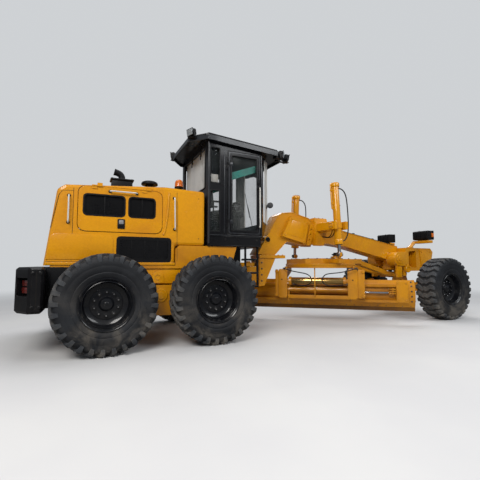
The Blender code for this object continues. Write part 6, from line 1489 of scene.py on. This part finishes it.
# Blade: edge bolts, end bolts, bright rod and its lug
ARC_Y, ARC_Z, ARC_RADIUS = 0.105, 0.6175, 0.5
# A dark brown band along the cutting edge: painted shade under the blade, with worn edges.
edge_shade = Shape("cutting_edge_wear_and_shade", "blade", EDGE_BROWN, turn=TO_CIRCLE)
edge_shade.block((-1.828, 1.828), (-0.3172, -0.313), (0.272, 0.418), 0.002)
edge = Shape("edge_bolts", "blade", IRON, turn=TO_CIRCLE)
for k in range(24):
    edge.bolt((-1.75 + 0.1522 * k, -0.317, 0.375), (0, -1, 0), 0.024)
for sign, z in product((-1, 1), (0.47, 0.57, 0.67, 0.77, 0.85)):
    y = ARC_Y - math.sqrt(ARC_RADIUS ** 2 - (z - ARC_Z) ** 2)
    edge.bolt((sign * 1.765, y, z), (0, y - ARC_Y, z - ARC_Z), 0.022)
    edge.bolt((sign * 1.83, -0.31, z), (sign, 0, 0), 0.024)
joint_lines = Shape("edge_joints", "blade", SEAM, turn=TO_CIRCLE)
for x in (-0.61, 0.61):
    joint_lines.block(about(x, 0.0015), (-0.3176, -0.3), (0.272, 0.419), 0)
bright = Shape("shift_rod_sleeve", "blade", CHROME, turn=TO_CIRCLE)
bright.turned(
    (0.73, *SHIFT_ROD), (1, 0, 0), [(0.0222, 0), (0.0228, 0.003), (0.0228, 0.595), (0.0222, 0.598)], 32
)
ears = Shape("shift_lug_plates", "blade", WORK_YELLOW, turn=TO_CIRCLE)
for k in range(3):
    z = 0.622 + 0.042 * k
    ears.plate("YZ", [(-0.52, z), (-0.44, z), (-0.44, z + 0.02), (-0.52, z + 0.02)], 1.335, 1.455, 0.003)
ears.pin((1.4, -0.5, 0.612), (1.4, -0.5, 0.738), 0.014, 16)
for sign in (-1, 1):
    ears.plate(
        "XZ",
        rounded_box((min(sign * 1.47, sign * 1.69), max(sign * 1.47, sign * 1.69)), (0.455, 0.872), 0.02),
        -0.468, -0.44, 0.008
    )
    for z, x in product((0.5, 0.83), (1.51, 1.65)):
        ears.bolt((sign * x, -0.468, z), (0, -1, 0), 0.022)
carrier = Shape("carrier_fittings", "blade_carrier", WORK_YELLOW, turn=TO_CIRCLE)
for sign in (-1, 1):
    carrier.turned(
        (sign * 0.5, *PITCH_SHAFT), (1, 0, 0),
        [(0.0455, -0.02), (0.058, -0.018), (0.058, 0.018), (0.0455, 0.02)], 32, closed=True
    )
    carrier.turned(
        (sign * 0.58, *SHIFT_ROD), (1, 0, 0),
        [(0.0455, -0.02), (0.056, -0.018), (0.056, 0.018), (0.0455, 0.02)], 32, closed=True
    )

# Front axle ends
for side, sign in SIDES:
    axle = Shape(f"axle_fittings_{side}", "front_frame", IRON)
    for z, x in product((0.62, 0.73), (6.17, 6.29)):
        axle.bolt((x, sign * 0.3, 0.7755), (0, 0, 1), 0.024)
    for x, face in ((6.33, 1), (6.13, -1)):
        axle.turned(
            (x, sign * 0.45, 0.675), (face, 0, 0), [(0.04, -0.001), (0.04, 0.01), (0.034, 0.014), (0, 0.015)],
            24
        )

# Finishes of the solids that stay
WORK_NODES = (
    "circle", "blade_carrier", "drawbar", "front_axle", "lean_yoke_right", "lean_yoke_left",
    "steering_knuckle_right", "steering_knuckle_left", "tandem_case_right", "tandem_case_left", "rear_axle",
    "blade", "rear_frame"
)
FINISH_OF_SLOT = {
    "yellow_paint": YELLOW, "black_paint": BLACK, "grey_iron": IRON, "rod_chrome": CHROME,
    "tyre_rubber": RUBBER, "cab_glass": GLASS, "seat_vinyl": VINYL, "amber_lens": AMBER
}


def softened_edges(obj, width):
    weld = obj.modifiers.new("weld", "WELD")
    weld.merge_threshold = 0.00002
    bevel = obj.modifiers.new("edge", "BEVEL")
    bevel.width = width
    bevel.segments = 2
    bevel.limit_method = "ANGLE"
    bevel.angle_limit = math.radians(38)


for name, obj in NODES.items():
    slot_name = obj.material_slots[0].material.name.split(".")[0]
    obj.material_slots[0].material = WORK_YELLOW if name in WORK_NODES else FINISH_OF_SLOT[slot_name]
    # The rear window takes the pale glass, whose colour is a painted reflection.
    if name == "rear_window":
        obj.material_slots[0].material = REAR_GLASS
    if slot_name != "cab_glass":
        softened_edges(obj, 0.004)

for shape in MADE:
    made_piece = shape.make()
    if shape.name in HOSES:
        route, diameter = HOSES[shape.name]
        run = sum((b - a).length for a, b in zip(route, route[1:]))

# Floor, light and camera
BACKDROP = (0.62, 0.64, 0.66, 1)
FADE = (6.5, 15)
WORLD_LIGHT = 0.22


def studio():
    bpy.ops.mesh.primitive_plane_add(size=120)
    floor = bpy.context.object
    floor.name = "studio_floor"
    made = bpy.data.materials.new("studio_floor")
    made.use_nodes = True
    kit = Tree(made.node_tree)
    shader = made.node_tree.nodes["Principled BSDF"]
    screed = kit.mixed(
        kit.ranged(kit.noise(kit.place(), 0.6, 3), 0.3, 0.7), (0.6, 0.6, 0.61, 1), (0.64, 0.64, 0.64, 1)
    )
    mirrored = kit.add("LightPath").outputs["Is Glossy Ray"]
    kit.put(kit.mixed(mirrored, screed, (0.16, 0.155, 0.15, 1)), shader.inputs["Base Color"])
    shader.inputs["Roughness"].default_value = 0.9
    far = kit.add("VectorMath", operation="LENGTH")
    kit.put(kit.place(), far.inputs[0])
    rays = kit.add("LightPath").outputs
    fade = kit.maths("MULTIPLY", kit.ranged(far.outputs["Value"], *FADE), rays["Is Camera Ray"])
    backdrop, mix = kit.add("Emission"), kit.add("MixShader")
    backdrop.inputs[0].default_value = BACKDROP
    kit.put(fade, mix.inputs[0])
    kit.put(shader.outputs[0], mix.inputs[1])
    kit.put(backdrop.outputs[0], mix.inputs[2])
    kit.put(mix.outputs[0], made.node_tree.nodes["Material Output"].inputs[0])
    floor.data.materials.append(made)
    world = bpy.context.scene.world or bpy.data.worlds.new("studio")
    bpy.context.scene.world = world
    world.use_nodes = True
    tree = world.node_tree
    tree.nodes.clear()
    kit = Tree(tree)
    shown, light, mix = kit.add("Background"), kit.add("Background"), kit.add("MixShader")
    shown.inputs[0].default_value = BACKDROP
    shown.inputs[1].default_value = 1
    light.inputs[0].default_value = (0.86, 0.92, 1, 1)
    light.inputs[1].default_value = WORLD_LIGHT
    kit.put(kit.add("LightPath").outputs["Is Camera Ray"], mix.inputs[0])
    kit.put(light.outputs[0], mix.inputs[1])
    kit.put(shown.outputs[0], mix.inputs[2])
    kit.put(mix.outputs[0], tree.nodes.new("ShaderNodeOutputWorld").inputs[0])


def lamp(name, spot, target, size, power, colour=(1, 1, 1)):
    data = bpy.data.lights.new(name, "AREA")
    data.shape = "RECTANGLE"
    data.size, data.size_y = size
    data.energy = power
    data.color = colour
    obj = bpy.data.objects.new(name, data)
    obj.location = spot
    obj.rotation_euler = (Vector(target) - Vector(spot)).to_track_quat("-Z", "Y").to_euler()
    bpy.context.scene.collection.objects.link(obj)


studio()
lamp("key", (-7, -7.5, 7.5), (-0.5, 0, 1.2), (5, 4), 860, (1, 0.97, 0.93))
lamp("fill", (5.5, -8.5, 8), (1.5, 0, 1), (8, 3), 540, (0.96, 0.98, 1))
lamp("overhead", (0, 1.5, 9.5), (0, 0, 1), (11, 5), 520)
lamp("back", (5, 9.5, 9), (0, 0, 1.2), (6, 3), 380)

YAW, PITCH = math.radians(25.1), math.radians(4.34)
CAMERA_SPOT = (-3.595, -5.928, 1.193)
camera_data = bpy.data.cameras.new("camera")
camera_data.lens, camera_data.sensor_width = 24.67, 36
camera_data.clip_end = 200
camera = bpy.data.objects.new("camera", camera_data)
camera.location = CAMERA_SPOT
look = Vector((math.sin(YAW) * math.cos(PITCH), math.cos(YAW) * math.cos(PITCH), math.sin(PITCH)))
camera.rotation_euler = look.to_track_quat("-Z", "Y").to_euler()
bpy.context.scene.collection.objects.link(camera)
bpy.context.scene.camera = camera
bpy.context.scene.view_settings.view_transform = "Standard"
